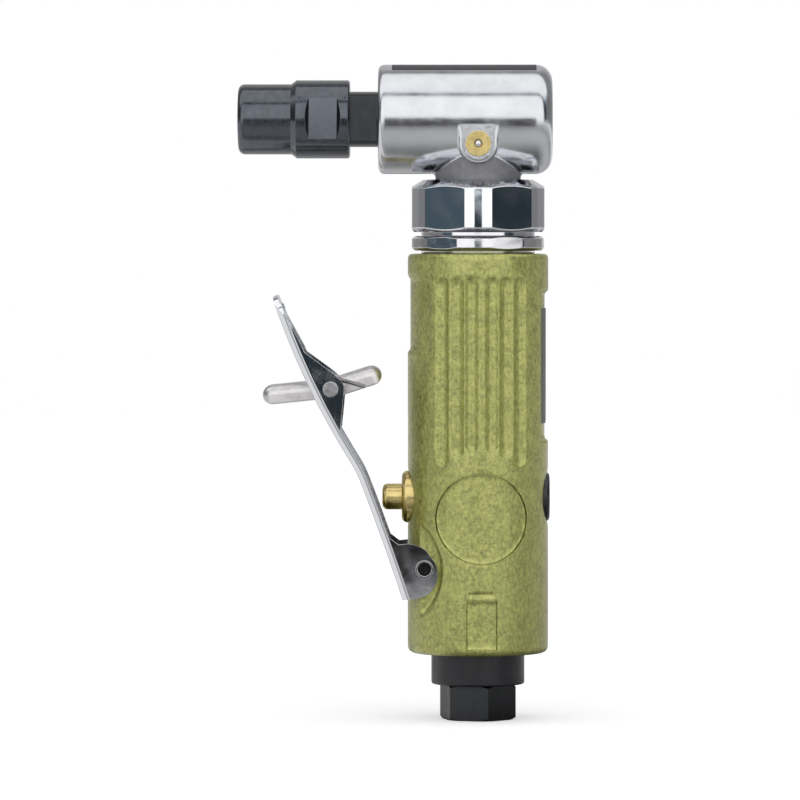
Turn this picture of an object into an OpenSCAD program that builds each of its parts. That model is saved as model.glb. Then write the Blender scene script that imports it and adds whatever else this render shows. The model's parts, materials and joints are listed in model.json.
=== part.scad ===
// Right angle air die grinder, standing on its air inlet.
// The origin is the centre of the inlet's bottom face, +Z runs up the handle to the
// head, and the collet points along -X. All sizes are in millimetres.

/* [Handle] */
// Outer diameter of the cast handle
handle_d = 35.1; // [35:0.1:36.5]
// Length of the cast handle
handle_len = 99.7; // [99:0.1:108]
// Rounding of the handle's top edge
handle_top_round = 1.0; // [0.6:0.1:1.4]
// Rounding of the handle's bottom edge
handle_bottom_round = 1.5; // [0.6:0.1:2]
// Turn of the cast pattern about the handle, in degrees
pattern_turn = 3; // [0:0.5:5]

/* [Flutes and recesses] */
// Number of flutes on each face
flute_count = 6; // [4:2:6]
// Distance between neighbouring flutes
flute_pitch = 3.7; // [3.6:0.1:4]
// Extra width of the rib between the two middle flutes
flute_middle_gap = 1.55; // [1:0.05:1.8]
// Radius of a flute's cutter
flute_r = 1.8; // [1.5:0.1:1.8]
// Depth of a flute below the handle's surface
flute_depth = 1.1; // [0.6:0.1:1.3]
// Distance from the handle's top to the flutes
flute_top_gap = 5.6; // [4:0.1:8]
// Band left between the flutes and the medallion
flute_medallion_gap = 5.1; // [4:0.1:7]
// Radius of the round medallion
medallion_r = 11.2; // [10:0.1:12]
// Height of the medallion's centre above the handle's bottom
medallion_up = 34.1; // [32:0.1:36]
// Depth of the shallow cast recesses
shallow_depth = 0.35; // [0.2:0.05:0.5]
// Width of the small cast box
box_w = 7.4; // [6:0.1:9]
// Height of the small cast box
box_h = 12.1; // [10:0.1:13.5]
// Height of the box's centre above the handle's bottom
box_up = 7.7; // [7.4:0.1:8.5]
// Depth of the name plate's recess
plate_recess_depth = 0.9; // [0.6:0.05:1]
// Length of the name plate's recess
plate_recess_len = 37; // [34:0.5:39]
// Distance from the handle's top to the name plate's recess
plate_recess_gap = 9.4; // [8:0.1:12]
// Thickness of the name plate
plate_t = 0.3; // [0.2:0.05:0.5]
// Length of the name plate
plate_len = 28.7; // [24:0.1:32]
// Half angle that the name plate wraps
plate_half_angle = 23; // [18:1:24]
// Depth of the grip recess behind the lever
grip_recess_depth = 0.65; // [0.4:0.05:0.8]
// Length of the grip recess
grip_recess_len = 18.7; // [14:0.1:20]

/* [Air motor] */
// Diameter of the motor's cylinder and end plates
motor_d = 27; // [26.6:0.1:27.2]
// Height of the motor cavity's floor above the handle's bottom
motor_up = 48.9; // [48.6:0.1:49.6]
// Thickness of the rear gasket
gasket_t = 0.4; // [0.3:0.1:0.8]
// Thickness of the rear end plate
rear_plate_t = 6; // [6:0.1:7]
// Length of the motor's cylinder
cylinder_len = 32; // [30:0.5:33]
// Diameter of the cylinder's bore
cylinder_bore_d = 21.8; // [21.6:0.1:22]
// Offset of the cylinder's bore from the handle's axis
cylinder_offset = 1.1; // [1:0.05:1.2]
// Thickness of the front end plate
front_plate_t = 7; // [7:0.1:8]
// Diameter of the rotor
rotor_d = 19.4; // [18:0.1:19.4]
// Number of vanes
vane_count = 5; // [4:1:6]
// Thickness of a vane
vane_t = 1.5; // [1.2:0.1:1.8]
// Depth of a vane's slot
vane_slot_depth = 4.8; // [4:0.1:5]
// Diameter of the pin that locates the cylinder
cylinder_pin_d = 2; // [1.5:0.1:2.2]

/* [Coupling] */
// Diameter of the coupling sleeve
sleeve_d = 27.6; // [27.4:0.1:27.8]
// Diameter of the thread that screws into the handle
sleeve_thread_d = 28; // [27.9:0.1:28.4]
// Bore of the coupling sleeve
sleeve_bore_d = 21.4; // [21:0.1:22]
// Width across the lock ring's flats
ring_af = 32.5; // [31:0.1:32.7]
// Diameter over the lock ring's corners
ring_corner_d = 33.6; // [33.2:0.1:34.4]
// Thickness of the lock ring
ring_t = 3.65; // [3:0.05:4.5]
// Collar between the handle and the lock ring
collar_low = 0.75; // [0.5:0.05:1.2]
// Collar between the lock ring and the clamp nut
collar_high = 1; // [0.5:0.05:1.5]
// Width across the clamp nut's flats
nut_af = 33; // [32.4:0.1:34]
// Diameter over the clamp nut's corners
nut_corner_d = 34.8; // [34.4:0.1:36]
// Length of the clamp nut
nut_len = 13; // [12.5:0.1:15]
// Height of the chamfer at the clamp nut's top
nut_top_chamfer = 2.2; // [1.2:0.1:2.4]
// Thickness of the nut's lip over the head's flange
nut_lip = 3.2; // [2.5:0.1:4]
// Thickness of the head's flange
flange_t = 2.2; // [1.8:0.1:2.8]

/* [Angle head] */
// Diameter of the angle head
head_d = 27.25; // [27.15:0.05:28.5]
// Length of the head from the handle's axis to its mouth
head_front = 24.9; // [24.5:0.1:27]
// Length of the head from the handle's axis to its closed end
head_back = 18.5; // [18:0.1:20]
// Diameter of the head's neck
neck_d = 21.3; // [21:0.1:21.8]
// Visible length of the neck
neck_len = 1.5; // [1:0.1:4]
// Radius of the domed edge at the head's closed end
head_back_round = 4.2; // [2.5:0.1:4.5]
// Radius of the edge at the head's mouth
head_front_round = 1.5; // [0.5:0.1:1.8]
// Thickness of the head's name plate
head_plate_t = 0.3; // [0.2:0.05:0.4]
// Length of the head's name plate
head_plate_len = 36; // [30:0.5:37]
// Width of the head's name plate
head_plate_w = 12.6; // [10:0.1:14]
// Diameter of the grease fitting's boss
boss_d = 9.5; // [8.5:0.1:10.4]
// Distance from the head's centre to the face of the boss
boss_face = 13.55; // [13.2:0.05:13.55]
// Drop of the grease fitting below the head's axis
boss_drop = 6.3; // [5:0.1:6.5]
// Diameter of the grease fitting
fitting_d = 6.3; // [5.5:0.1:7]
// Diameter of the check ball
grease_ball_d = 2.4; // [2:0.1:2.6]

/* [Bevel gears] */
// Module of the bevel gears
gear_module = 1; // [0.98:0.01:1.02]
// Teeth of the pinion
pinion_teeth = 12; // [12:1:12]
// Teeth of the spindle's gear
gear_teeth = 14; // [14:1:14]
// Width of the teeth along the cone
face_w = 3; // [2.5:0.1:3.2]
// Length of the gear's hub
gear_hub_len = 5.5; // [5:0.1:5.8]

/* [Spindle and collet] */
// Diameter of the spindle outside the head
spindle_d = 13.8; // [13.4:0.1:14]
// Length of the spindle that shows between head and nut
spindle_gap = 7.1; // [6:0.1:8]
// Width across the spindle's flats
spindle_af = 8.5; // [8.4:0.1:11]
// Diameter of the spindle's nose thread
nose_d = 12; // [11.6:0.1:12.4]
// Length of the spindle's nose
nose_len = 12; // [11:0.1:12.5]
// Diameter of the collet nut's rear section
nut_rear_d = 19.5; // [19:0.1:21]
// Length of the collet nut's rear section
nut_rear_len = 14.25; // [14:0.05:16]
// Diameter of the collet nut's front section
nut_front_d = 17.5; // [16.5:0.1:18.5]
// Length of the collet nut's front section
nut_front_len = 13.6; // [13.5:0.05:15]
// Width across the collet nut's flats
collet_nut_af = 16.8; // [16:0.1:17.4]
// Length of the collet nut's flats
collet_nut_flat_len = 7; // [5:0.1:8]
// Shift of the collet nut's flats towards the head
collet_nut_flat_shift = 0.5; // [0:0.1:1]
// Bore of the collet
collet_bore_d = 6.35; // [6:0.05:6.4]
// Width of the collet's slots
collet_slot_w = 0.7; // [0.5:0.1:0.9]

/* [Throttle lever] */
// Width over the lever's side walls
lever_w = 23; // [22.8:0.1:24]
// Thickness of the lever's sheet
lever_t = 1.25; // [1.1:0.05:1.3]
// Depth of the side walls between the lever's ears
lever_depth = 2; // [2:0.05:2.2]
// Depth of the side walls towards the tip
lever_tip_depth = 2.65; // [2.4:0.05:3]
// Radius of the lever's upper curve
lever_upper_r = 190; // [180:1:200]
// Radius of the lever's bend at the knee
lever_knee_r = 25; // [20:1:30]
// Radius of the lever's lower curve
lever_lower_r = 600; // [590:5:610]
// Lean of the lever's tip from upright, in degrees
lever_tip_lean = 18.4; // [18:0.1:19]
// Lean of the lever above the knee, in degrees
lever_upper_lean = 32.3; // [32.1:0.1:32.5]
// Lean of the lever below the knee, in degrees
lever_lower_lean = 21.2; // [21.1:0.1:21.3]
// Lean of the lever's foot, in degrees
lever_foot_lean = 18.2; // [18.1:0.1:18.3]
// Distance of the lever's foot outside the hinge
lever_foot_out = 5.45; // [5.4:0.05:5.5]
// Distance of the lever's foot below the hinge
lever_foot_down = 7.8; // [7.7:0.1:7.9]
// Distance of the hinge inside the handle's surface
hinge_inset = 4.25; // [4.2:0.05:4.35]
// Height of the hinge above the handle's bottom
hinge_up = 21.4; // [21:0.1:22.5]
// Diameter of the lever's hinge pin
lever_pin_d = 4.4; // [4:0.1:4.6]
// Wall of the hinge pin round its end bores
lever_pin_wall = 0.5; // [0.3:0.05:0.8]
// Depth of the hinge pin's end bores
lever_pin_bore = 6; // [3:0.5:10]

/* [Safety lever] */
// Lean of the lever at the safety pivot, in degrees
safety_lean = 26.6; // [26.3:0.1:26.9]
// Depth of the safety pivot behind the lever's outer face
safety_depth = 4.7; // [4.6:0.1:4.8]
// Diameter of the safety pin
safety_pin_d = 3.3; // [3:0.1:3.4]
// Width of the safety lever
safety_w = 8; // [7:0.1:8.6]
// Thickness of the safety lever's sheet
safety_t = 1; // [0.8:0.05:1.1]
// Height of the safety lever's arms
safety_h = 4.9; // [4.6:0.05:5]
// Length of the outer arm to the centre of its round end
safety_outer = 14.8; // [14:0.1:15]
// Length of the inner arm to the centre of its round end
safety_inner = 10.6; // [10:0.1:10.8]
// Wire of the safety lever's torsion spring
safety_wire_d = 0.9; // [0.7:0.05:0.95]
// Mean radius of the torsion spring's coil
safety_coil_r = 2.85; // [2.7:0.05:2.95]
// Pitch of the torsion spring's coil
safety_coil_pitch = 1.4; // [1.36:0.02:1.5]
// Whole turns of the torsion spring's coil
safety_coil_turns = 3; // [2:1:3]

/* [Throttle valve and regulator] */
// Height of the valve's axis above the handle's bottom
valve_up = 38.95; // [38.9:0.05:39]
// Diameter of the valve button
button_d = 6.5; // [6:0.1:6.8]
// Distance that the button stands out of the handle
button_out = 6.35; // [6.1:0.05:6.5]
// Height of the button's domed end
button_dome = 1.3; // [0.8:0.1:1.6]
// Diameter of the valve bushing's head
bushing_d = 13; // [12.6:0.1:13.4]
// Height of the bushing's head outside the handle
bushing_out = 1.5; // [1:0.1:1.8]
// Diameter of the valve chamber
chamber_d = 11; // [10.8:0.1:11.2]
// Travel of the valve when the lever is fully pressed
valve_travel = 2.9; // [2.7:0.05:3.1]
// Wire of the valve spring
valve_wire_d = 0.6; // [0.4:0.05:0.7]
// Number of coils in the valve spring
valve_coils = 6; // [5:1:7]
// Diameter of the speed regulator's knob
knob_d = 12.5; // [11.8:0.1:12.9]
// Height of the knob above its spot face
knob_t = 1.9; // [1.5:0.1:2.2]
// Depth of the knob's spot face below the handle's surface
knob_sink = 1.6; // [1.4:0.1:1.7]
// Diameter of the regulator's shank
knob_shank_d = 10; // [9.6:0.1:10.2]

/* [Inlet and exhaust] */
// Width across the inlet hexagon's flats
inlet_af = 17; // [17:0.1:18]
// Length of the inlet hexagon
inlet_hex_len = 8.8; // [8.5:0.1:11]
// Turn of the inlet hexagon in degrees
inlet_turn = -15; // [-30:1:30]
// Diameter of the inlet bushing's thread in the handle
inlet_shank_d = 14; // [13.6:0.1:14.2]
// Length of the inlet bushing's thread in the handle
inlet_shank_len = 13; // [11:0.5:13.5]
// Diameter of the pipe thread in the inlet
pipe_d = 11.4; // [11:0.1:11.8]
// Depth of the pipe thread in the inlet
pipe_depth = 12; // [10:0.5:13]
// Outer diameter of the exhaust deflector
deflector_d = 23.3; // [23.2:0.1:24.5]
// Length of the exhaust deflector
deflector_len = 7.9; // [7.4:0.1:10]
// Wall of the exhaust deflector
deflector_wall = 1.2; // [1:0.1:1.4]
// Number of ports in the exhaust deflector
deflector_ports = 3; // [2:1:4]

/* [Fits] */
// Radial clearance of a turning or sliding fit
run_fit = 0.05; // [0.02:0.01:0.08]
// Gap between a moving face and the face beside it
face_gap = 0.05; // [0.03:0.01:0.1]

/* [Hidden] */
$fn = 96;
WIRE_SIDES = 6;
RINGS_PER_COIL = 8;
over = 0.5;
big = 60;

handle_r = handle_d / 2;
handle_z0 = inlet_hex_len + deflector_len;
handle_z1 = handle_z0 + handle_len;
medallion_z = handle_z0 + medallion_up;
flute_top_z = handle_z1 - flute_top_gap;
hinge_x = hinge_inset - handle_r;
hinge_z = handle_z0 + hinge_up;
valve_z = handle_z0 + valve_up;

motor_r = motor_d / 2;
cavity_r = motor_r + run_fit;
motor_z0 = handle_z0 + motor_up;
rear_plate_z0 = motor_z0 + gasket_t;
cylinder_z0 = rear_plate_z0 + rear_plate_t;
front_plate_z0 = cylinder_z0 + cylinder_len;
sleeve_z0 = front_plate_z0 + front_plate_t;
plate_web = 1;
rotor_r = rotor_d / 2;
cylinder_bore_r = cylinder_bore_d / 2;

// Ball bearings as [bore, outer diameter, width, number of balls]
rear_brg = [5, 16, 5, 7];
front_brg = [7, 19, 6, 8];
pinion_brg = [6, 15, 5, 8];
spindle_brg = [8, 22, 7, 8];

sleeve_r = sleeve_d / 2;
nut_z0 = handle_z1 + collar_low + ring_t + collar_high;
nut_z1 = nut_z0 + nut_len;
flange_z0 = nut_z1 - nut_lip - flange_t;
spigot_len = 7;
spigot_z0 = flange_z0 - spigot_len;
neck_r = neck_d / 2;
flange_r = sleeve_r - 0.5;

head_r = head_d / 2;
axis_z = nut_z1 + neck_len + head_r;
pinion_r = gear_module * pinion_teeth / 2;
gear_r = gear_module * gear_teeth / 2;
pinion_z = axis_z - gear_r;
cone_dist = sqrt(pinion_r * pinion_r + gear_r * gear_r);
face_share = 1 - face_w / cone_dist;
pinion_tip_r = pinion_r + 0.85 * gear_module;
gear_tip_r = gear_r + 0.75 * gear_module;
gear_room = 0.85;
gear_back_x = -(pinion_r + gear_hub_len);
pinion_brg_z = spigot_z0 + 7.3;
pinion_shank_r = 2.5;
pinion_hub_r = 4.2;
socket_depth = 5;
rotor_top_z = sleeve_z0 + 6.6;

spindle_r = spindle_d / 2;
spindle_brg_x = gear_back_x - spindle_brg[2];
seat_r = spindle_brg[0] / 2;
shaft_r = 3.5;
tail_r = 2.6;
tail_x0 = 9.5;
cup_len = 5;
cup_r = 5;
needle_r = 0.8;
needle_count = 12;
needle_pitch_r = tail_r + needle_r + run_fit;
retainer_inset = 0.2;
seal_w = 1.5;
seal_r = spindle_r + 1.7;
nut_back_x = -(head_front + spindle_gap);
nose_x = nut_back_x - nose_len;
nut_step_x = nut_back_x - nut_rear_len;
nut_face_x = nut_step_x - nut_front_len;
collet_back_x = nut_back_x + 0.2;
collet_face_x = nut_face_x + 0.8;
collet_back_r = 3.95;
collet_body_r = 4.75;
collet_nose_r = 3.95;
collet_cone_len = 4;
collet_lip_len = 2.5;

lever_pin_r = lever_pin_d / 2;
lever_half = lever_w / 2;
lever_gap = 0.2;
pocket_flat = lever_half - lever_t - lever_gap;
// Lever outline as [x, z] offsets from the hinge, at rest: three curves that run into each other
function dir(a) = [cos(a), sin(a)];
lever_heel = [-lever_foot_out, -lever_foot_down];
lower_c = lever_heel - lever_lower_r * dir(lever_foot_lean);
knee_c = lower_c + (lever_lower_r - lever_knee_r) * dir(lever_lower_lean);
upper_c = knee_c + (lever_knee_r + lever_upper_r) * dir(lever_upper_lean);
function on_upper(lean, depth) = upper_c - (lever_upper_r - depth) * dir(lean);
function on_lower(lean, depth) = lower_c + (lever_lower_r + depth) * dir(lean);
lever_tip = on_upper(lever_tip_lean, 0);
foot_window_z = -5.6;
foot_window_y = 7;
hinge_ear_c = [-2.9, -1.25];
hinge_ear_r = 6.2;
hinge_brow_c = [-4.3, -1.1];
hinge_brow_r = 7.4;
pocket_c = [-10.1, -0.4];
pocket_r = 14.7;
tip_corner_r = 6;

safety_pivot = on_upper(safety_lean, safety_depth);
ear_top_lean = safety_lean - 3.4;
ear_low_lean = safety_lean + 3.1;
hinge_ear_lean = 19.7;
ear_blend = 2.3;
safety_ear_r = 3.35;
safety_boss_r = 3.1;
outer_dir = 185.8;
inner_dir = 18.1;
slot_w = safety_w + 1;
slot_up = 17.6;
slot_down = 2.1;
slot_reach = 2 * safety_depth;
coil_gap_y = 0.25;
leg_dir = -16;
web_leg_dir = 296;
inner_leg_len = 8;
web_leg_len = 5;

button_r = button_d / 2;
button_x = -(handle_r + button_out);
bushing_x = -(handle_r + bushing_out);
bushing_head_t = 6;
chamber_r = chamber_d / 2;
seat_x0 = -0.5;
seat_x1 = 1.8;
disc_t = 0.75;
flange_x = seat_x1 + face_gap + disc_t;
stem_r = 1.5;
stem_step_x = -6;
bushing_end_x = -4.5;
knob_face_x = handle_r - knob_sink;
shank_x0 = flange_x + 1 + valve_travel + 0.2;
pocket_x1 = 13;
spring_mean_r = 2.3;
spring_x0 = flange_x + 1 + face_gap;
spring_x1 = pocket_x1 - face_gap;

inlet_shank_r = inlet_shank_d / 2;
inlet_top_z = inlet_hex_len + inlet_shank_len + deflector_len;
pipe_r = pipe_d / 2;
air_way_r = 4.2;
screen_t = 0.6;
screen_r = air_way_r + 0.6;
deflector_r = deflector_d / 2;
exhaust_r0 = inlet_shank_r + 1.6;
exhaust_r1 = deflector_r - 0.45;
lip_len = 2.4;
exhaust_a0 = 42;
exhaust_a1 = 78;

// Placing helpers
module to_x(x, z = 0) {
    translate([x, 0, z]) rotate([0, 90, 0]) children();
}
module to_y(x, y, z) {
    translate([x, y, z]) rotate([-90, 0, 0]) children();
}
module both_sides() {
    children();
    mirror([0, 1, 0]) children();
}

// A plain ring
module ring(r_out, r_in, h) {
    difference() {
        cylinder(r = r_out, h = h);
        translate([0, 0, -over]) cylinder(r = r_in, h = h + 2 * over);
    }
}

// The corner that a round edge removes, at [r, 0], going inwards and up
module edge_waste(r, round) {
    translate([r - round, round]) difference() {
        translate([0, -round - over]) square([round + over, round + over]);
        circle(r = round);
    }
}

// A turned drum with a round edge at the bottom and at the top
module drum(r, h, low, high) {
    rotate_extrude() difference() {
        square([r, h]);
        edge_waste(r, low);
        translate([0, h]) mirror([0, 1]) edge_waste(r, high);
    }
}

// A pin with two round ends, standing on its lower end
module capsule(r, len) {
    rotate_extrude() intersection() {
        union() {
            translate([0, r]) circle(r = r);
            translate([0, len - r]) circle(r = r);
            translate([0, r]) square([r, len - 2 * r]);
        }
        square([r, len]);
    }
}

// A piece of a ring between two angles
module sector(r0, r1, a0, a1, h) {
    rotate([0, 0, a0]) rotate_extrude(angle = a1 - a0) translate([r0, 0]) square([r1 - r0, h]);
}

// A hexagon with its corners turned to corner_r, flat faces square to the turn angle
module turned_hex(af, corner_r, h, turn, chamfer_low, chamfer_high) {
    intersection() {
        rotate([0, 0, turn + 30]) cylinder(r = af / sqrt(3), h = h, $fn = 6);
        rotate_extrude() polygon([
            [0, 0], [corner_r - 1.7 * chamfer_low, 0], [corner_r, chamfer_low],
            [corner_r, h - chamfer_high], [corner_r - 1.7 * chamfer_high, h], [0, h]
        ]);
    }
}

// Ball bearing parts, standing on z = 0
function pitch_r(b) = (b[0] + b[1]) / 4;
function ball_r(b) = (b[1] - b[0]) * 0.15;
function groove_r(b) = ball_r(b) + 0.04;
module bearing_outer(b) {
    land = pitch_r(b) + 0.55 * ball_r(b);
    color("silver") rotate_extrude() difference() {
        translate([land, 0]) square([b[1] / 2 - land, b[2]]);
        translate([pitch_r(b), b[2] / 2]) circle(r = groove_r(b));
    }
}
module bearing_inner(b) {
    land = pitch_r(b) - 0.55 * ball_r(b);
    color("silver") rotate_extrude() difference() {
        translate([b[0] / 2, 0]) square([land - b[0] / 2, b[2]]);
        translate([pitch_r(b), b[2] / 2]) circle(r = groove_r(b));
    }
}
module bearing_balls(b) {
    color("white") for (i = [0 : b[3] - 1])
        rotate([0, 0, i * 360 / b[3]]) translate([pitch_r(b), 0, b[2] / 2]) sphere(r = ball_r(b));
}

// Bevel teeth as a star that shrinks towards the cone's tip
function star(n, r_root, r_tip) = [
    for (i = [0 : n - 1]) for (p = [[-0.31, r_root], [-0.11, r_tip], [0.11, r_tip], [0.31, r_root]])
        let (a = (i + p[0]) * 360 / n) [p[1] * cos(a), p[1] * sin(a)]
];
module bevel_teeth(n, r, dist, tip_r) {
    root_r = dist * tan(atan(r / dist) - atan(1.2 * gear_module / cone_dist));
    cone_tip_r = dist * tan(atan(r / dist) + atan(0.8 * gear_module / cone_dist));
    intersection() {
        linear_extrude(height = dist * (1 - face_share), scale = face_share)
            polygon(star(n, root_r, cone_tip_r));
        cylinder(r = tip_r, h = dist);
    }
}

// A skin over rings of points. Each ring has its second half folded back along its first
module skin(rings) {
    n = len(rings[0]);
    last = (len(rings) - 1) * n;
    walls = [
        for (i = [0 : len(rings) - 2]) for (k = [0 : n - 1])
            let (a = i * n + k, b = i * n + (k + 1) % n)
            each [[a, b, b + n], [a, b + n, a + n]]
    ];
    caps = [
        for (i = [0 : n / 2 - 2]) let (j = n - 1 - i)
            each [
                [i, j - 1, i + 1], [i, j, j - 1],
                [last + i, last + i + 1, last + j - 1], [last + i, last + j - 1, last + j]
            ]
    ];
    polyhedron(points = [for (r = rings) each r], faces = concat(walls, caps));
}

// A round wire along a list of points, its rings kept square to the path
function unit(v) = v / norm(v);
function along(p, i) = unit(p[min(i + 1, len(p) - 1)] - p[max(i - 1, 0)]);
function wire_ring(c, t, up, r) =
    let (b = unit(up - (up * t) * t), n = cross(b, t))
    [for (k = [0 : WIRE_SIDES - 1]) let (a = k * 360 / WIRE_SIDES) c + r * (cos(a) * n + sin(a) * b)];
module wire(p, r, up) {
    skin([for (i = [0 : len(p) - 1]) wire_ring(p[i], along(p, i), up, r)]);
}
// Least distance between points of the path that are half a coil or more apart, less the wire
function self_gap(p, d) = min([
    for (i = [0 : len(p) - 1]) for (j = [i + RINGS_PER_COIL / 2 : 1 : len(p) - 1]) norm(p[i] - p[j])
]) - d;

module flute(x, bottom_z) {
    y = sqrt(handle_r * handle_r - x * x) + flute_r - flute_depth;
    translate([x, y, bottom_z]) capsule(flute_r, flute_top_z - bottom_z);
}
module face_pattern() {
    for (s = [-1, 1]) for (i = [0 : flute_count / 2 - 1]) {
        x = s * ((i + 0.5) * flute_pitch + flute_middle_gap / 2);
        band = medallion_r + flute_medallion_gap;
        flute(x, medallion_z + sqrt(band * band - x * x));
    }
    difference() {
        union() {
            to_y(0, 8, medallion_z) cylinder(r = medallion_r, h = 14);
            translate([-box_w / 2, 8, handle_z0 + box_up - box_h / 2]) cube([box_w, 14, box_h]);
        }
        translate([0, 0, handle_z0 - over]) cylinder(r = handle_r - shallow_depth, h = handle_len);
    }
}
module housing() {
    grip_z1 = flute_top_z;
    plate_z1 = handle_z1 - plate_recess_gap;
    color("olivedrab") difference() {
        translate([0, 0, handle_z0])
            drum(handle_r, handle_len, handle_bottom_round, handle_top_round);
        rotate([0, 0, pattern_turn]) mirror([0, 1, 0]) face_pattern();
        rotate([0, 0, pattern_turn]) face_pattern();
        translate([0, 0, plate_z1 - plate_recess_len])
            sector(handle_r - plate_recess_depth, handle_r + 1, -26, 26, plate_recess_len);
        translate([0, 0, grip_z1 - grip_recess_len])
            sector(handle_r - grip_recess_depth, handle_r + 1, 133, 227, grip_recess_len);
        translate([0, 0, motor_z0]) cylinder(r = cavity_r, h = sleeve_z0 - motor_z0 + over);
        translate([0, 0, sleeve_z0]) cylinder(r = sleeve_thread_d / 2, h = handle_len);
        both_sides() to_y(hinge_x + pocket_c[0], pocket_flat, hinge_z + pocket_c[1])
            cylinder(r = pocket_r, h = 20);
        to_y(hinge_x, -20, hinge_z) cylinder(r = lever_pin_r, h = 40);
        to_x(-20, valve_z) cylinder(r = bushing_d / 2 + run_fit, h = 20 + bushing_x + bushing_head_t);
        to_x(-14, valve_z) cylinder(r = chamber_r, h = 14 + shank_x0);
        to_x(0, valve_z) cylinder(r = knob_shank_d / 2 + run_fit, h = 20);
        to_x(knob_face_x, valve_z) cylinder(r = knob_d / 2 + 0.4, h = 6);
        translate([-2.5, 0, valve_z]) cylinder(r = 1.9, h = motor_z0 - valve_z);
        translate([-10.5, -1.6, motor_z0 - 3.5]) cube([8, 3.2, 4]);
        translate([-10.5, 0, motor_z0 - 3.5]) cylinder(r = 1.9, h = 4);
        translate([6.5, 0, inlet_top_z - over]) cylinder(r = 2.5, h = valve_z - inlet_top_z + over);
        translate([0, 0, handle_z0 - over]) cylinder(r = inlet_shank_r, h = inlet_top_z - handle_z0 + over);
        translate([0, 0, handle_z0 - over]) ring(exhaust_r1, exhaust_r0, lip_len + 1 + over);
        both_sides() {
            translate([0, 0, handle_z0 + 1])
                sector(exhaust_r0 + 0.2, exhaust_r1 - 0.2, exhaust_a0, exhaust_a1, motor_up - 2);
            translate([0, 0, motor_z0 - 3])
                sector(exhaust_r0, cavity_r - 0.3, exhaust_a0, exhaust_a1, 3 + over);
        }
    }
}
module side_plate() {
    floor_r = handle_r - plate_recess_depth;
    middle_z = handle_z1 - plate_recess_gap - plate_recess_len / 2;
    color("dimgray") translate([0, 0, middle_z - plate_len / 2])
        sector(floor_r, floor_r + plate_t, -plate_half_angle, plate_half_angle, plate_len);
}

module motor_port(h) {
    translate([-10.3, 0, -over]) cylinder(r = 1.2, h = h + 2 * over);
    both_sides() translate([0, 0, -over])
        sector(motor_r - 1.3, motor_r + 1, exhaust_a0 + 2, exhaust_a1 - 2, h + 2 * over);
}
module pin_hole(h) {
    translate([0, -motor_r + 1.8, -over]) cylinder(r = cylinder_pin_d / 2, h = h + 2 * over);
}
module rear_gasket() {
    color("peru") translate([0, 0, motor_z0]) difference() {
        cylinder(r = motor_r, h = gasket_t);
        motor_port(gasket_t);
        pin_hole(gasket_t);
    }
}
module rear_plate() {
    color("darkgray") translate([0, 0, rear_plate_z0]) difference() {
        cylinder(r = motor_r, h = rear_plate_t);
        translate([0, 0, -over]) cylinder(r = rear_brg[1] / 2, h = rear_plate_t - plate_web + over);
        cylinder(r = 3.4, h = rear_plate_t + over);
        motor_port(rear_plate_t);
        pin_hole(rear_plate_t);
    }
}
module motor_cylinder() {
    relief_r = motor_r - 0.9;
    color("slategray") translate([0, 0, cylinder_z0]) difference() {
        cylinder(r = motor_r, h = cylinder_len);
        translate([0, cylinder_offset, -over])
            cylinder(r = cylinder_bore_r, h = cylinder_len + 2 * over);
        translate([0, 0, 4]) sector(relief_r, motor_r + 1, -80, 80, cylinder_len - 8);
        both_sides() translate([0, 0, -over])
            sector(relief_r, motor_r + 1, exhaust_a0 + 2, exhaust_a1 - 2, 5 + over);
        for (i = [-2 : 2]) to_x(5, cylinder_len / 2 + i * 4.5) cylinder(r = 1.4, h = 12);
        pin_hole(cylinder_len);
    }
}
module front_plate() {
    color("darkgray") translate([0, 0, front_plate_z0]) difference() {
        cylinder(r = motor_r, h = front_plate_t);
        translate([0, 0, plate_web]) cylinder(r = front_brg[1] / 2, h = front_plate_t);
        translate([0, 0, -over]) cylinder(r = 4.4, h = front_plate_t);
        pin_hole(front_plate_t - 1.5);
    }
}
module cylinder_pin() {
    color("gray") translate([0, -motor_r + 1.8, motor_z0])
        cylinder(r = cylinder_pin_d / 2, h = sleeve_z0 - motor_z0 - 2);
}
module rotor() {
    slot_w = vane_t + 0.1;
    color("lightsteelblue") difference() {
        union() {
            translate([0, 0, cylinder_z0 + face_gap])
                cylinder(r = rotor_r, h = cylinder_len - 2 * face_gap);
            translate([0, 0, rear_plate_z0 + 0.1]) cylinder(r = rear_brg[0] / 2, h = rear_plate_t);
            translate([0, 0, front_plate_z0 - 1])
                cylinder(r = front_brg[0] / 2, h = rotor_top_z - front_plate_z0 + 1);
        }
        for (i = [0 : vane_count - 1]) rotate([0, 0, i * 360 / vane_count])
            translate([rotor_r - vane_slot_depth, -slot_w / 2, cylinder_z0])
                cube([vane_slot_depth + over, slot_w, cylinder_len]);
        translate([0, 0, rotor_top_z - socket_depth]) cylinder(r = pinion_shank_r, h = socket_depth + over);
    }
}
module rotor_vanes() {
    color("saddlebrown") for (i = [0 : vane_count - 1]) rotate([0, 0, i * 360 / vane_count])
        translate([rotor_r - vane_slot_depth + 0.05, -vane_t / 2, cylinder_z0 + 0.15])
            cube([vane_slot_depth - 0.1, vane_t, cylinder_len - 0.3]);
}
module at_rear() {
    translate([0, 0, rear_plate_z0]) children();
}
module at_front() {
    translate([0, 0, front_plate_z0 + plate_web]) children();
}
module at_pinion() {
    translate([0, 0, pinion_brg_z]) children();
}
module at_spindle() {
    to_x(spindle_brg_x, axis_z) children();
}

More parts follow.
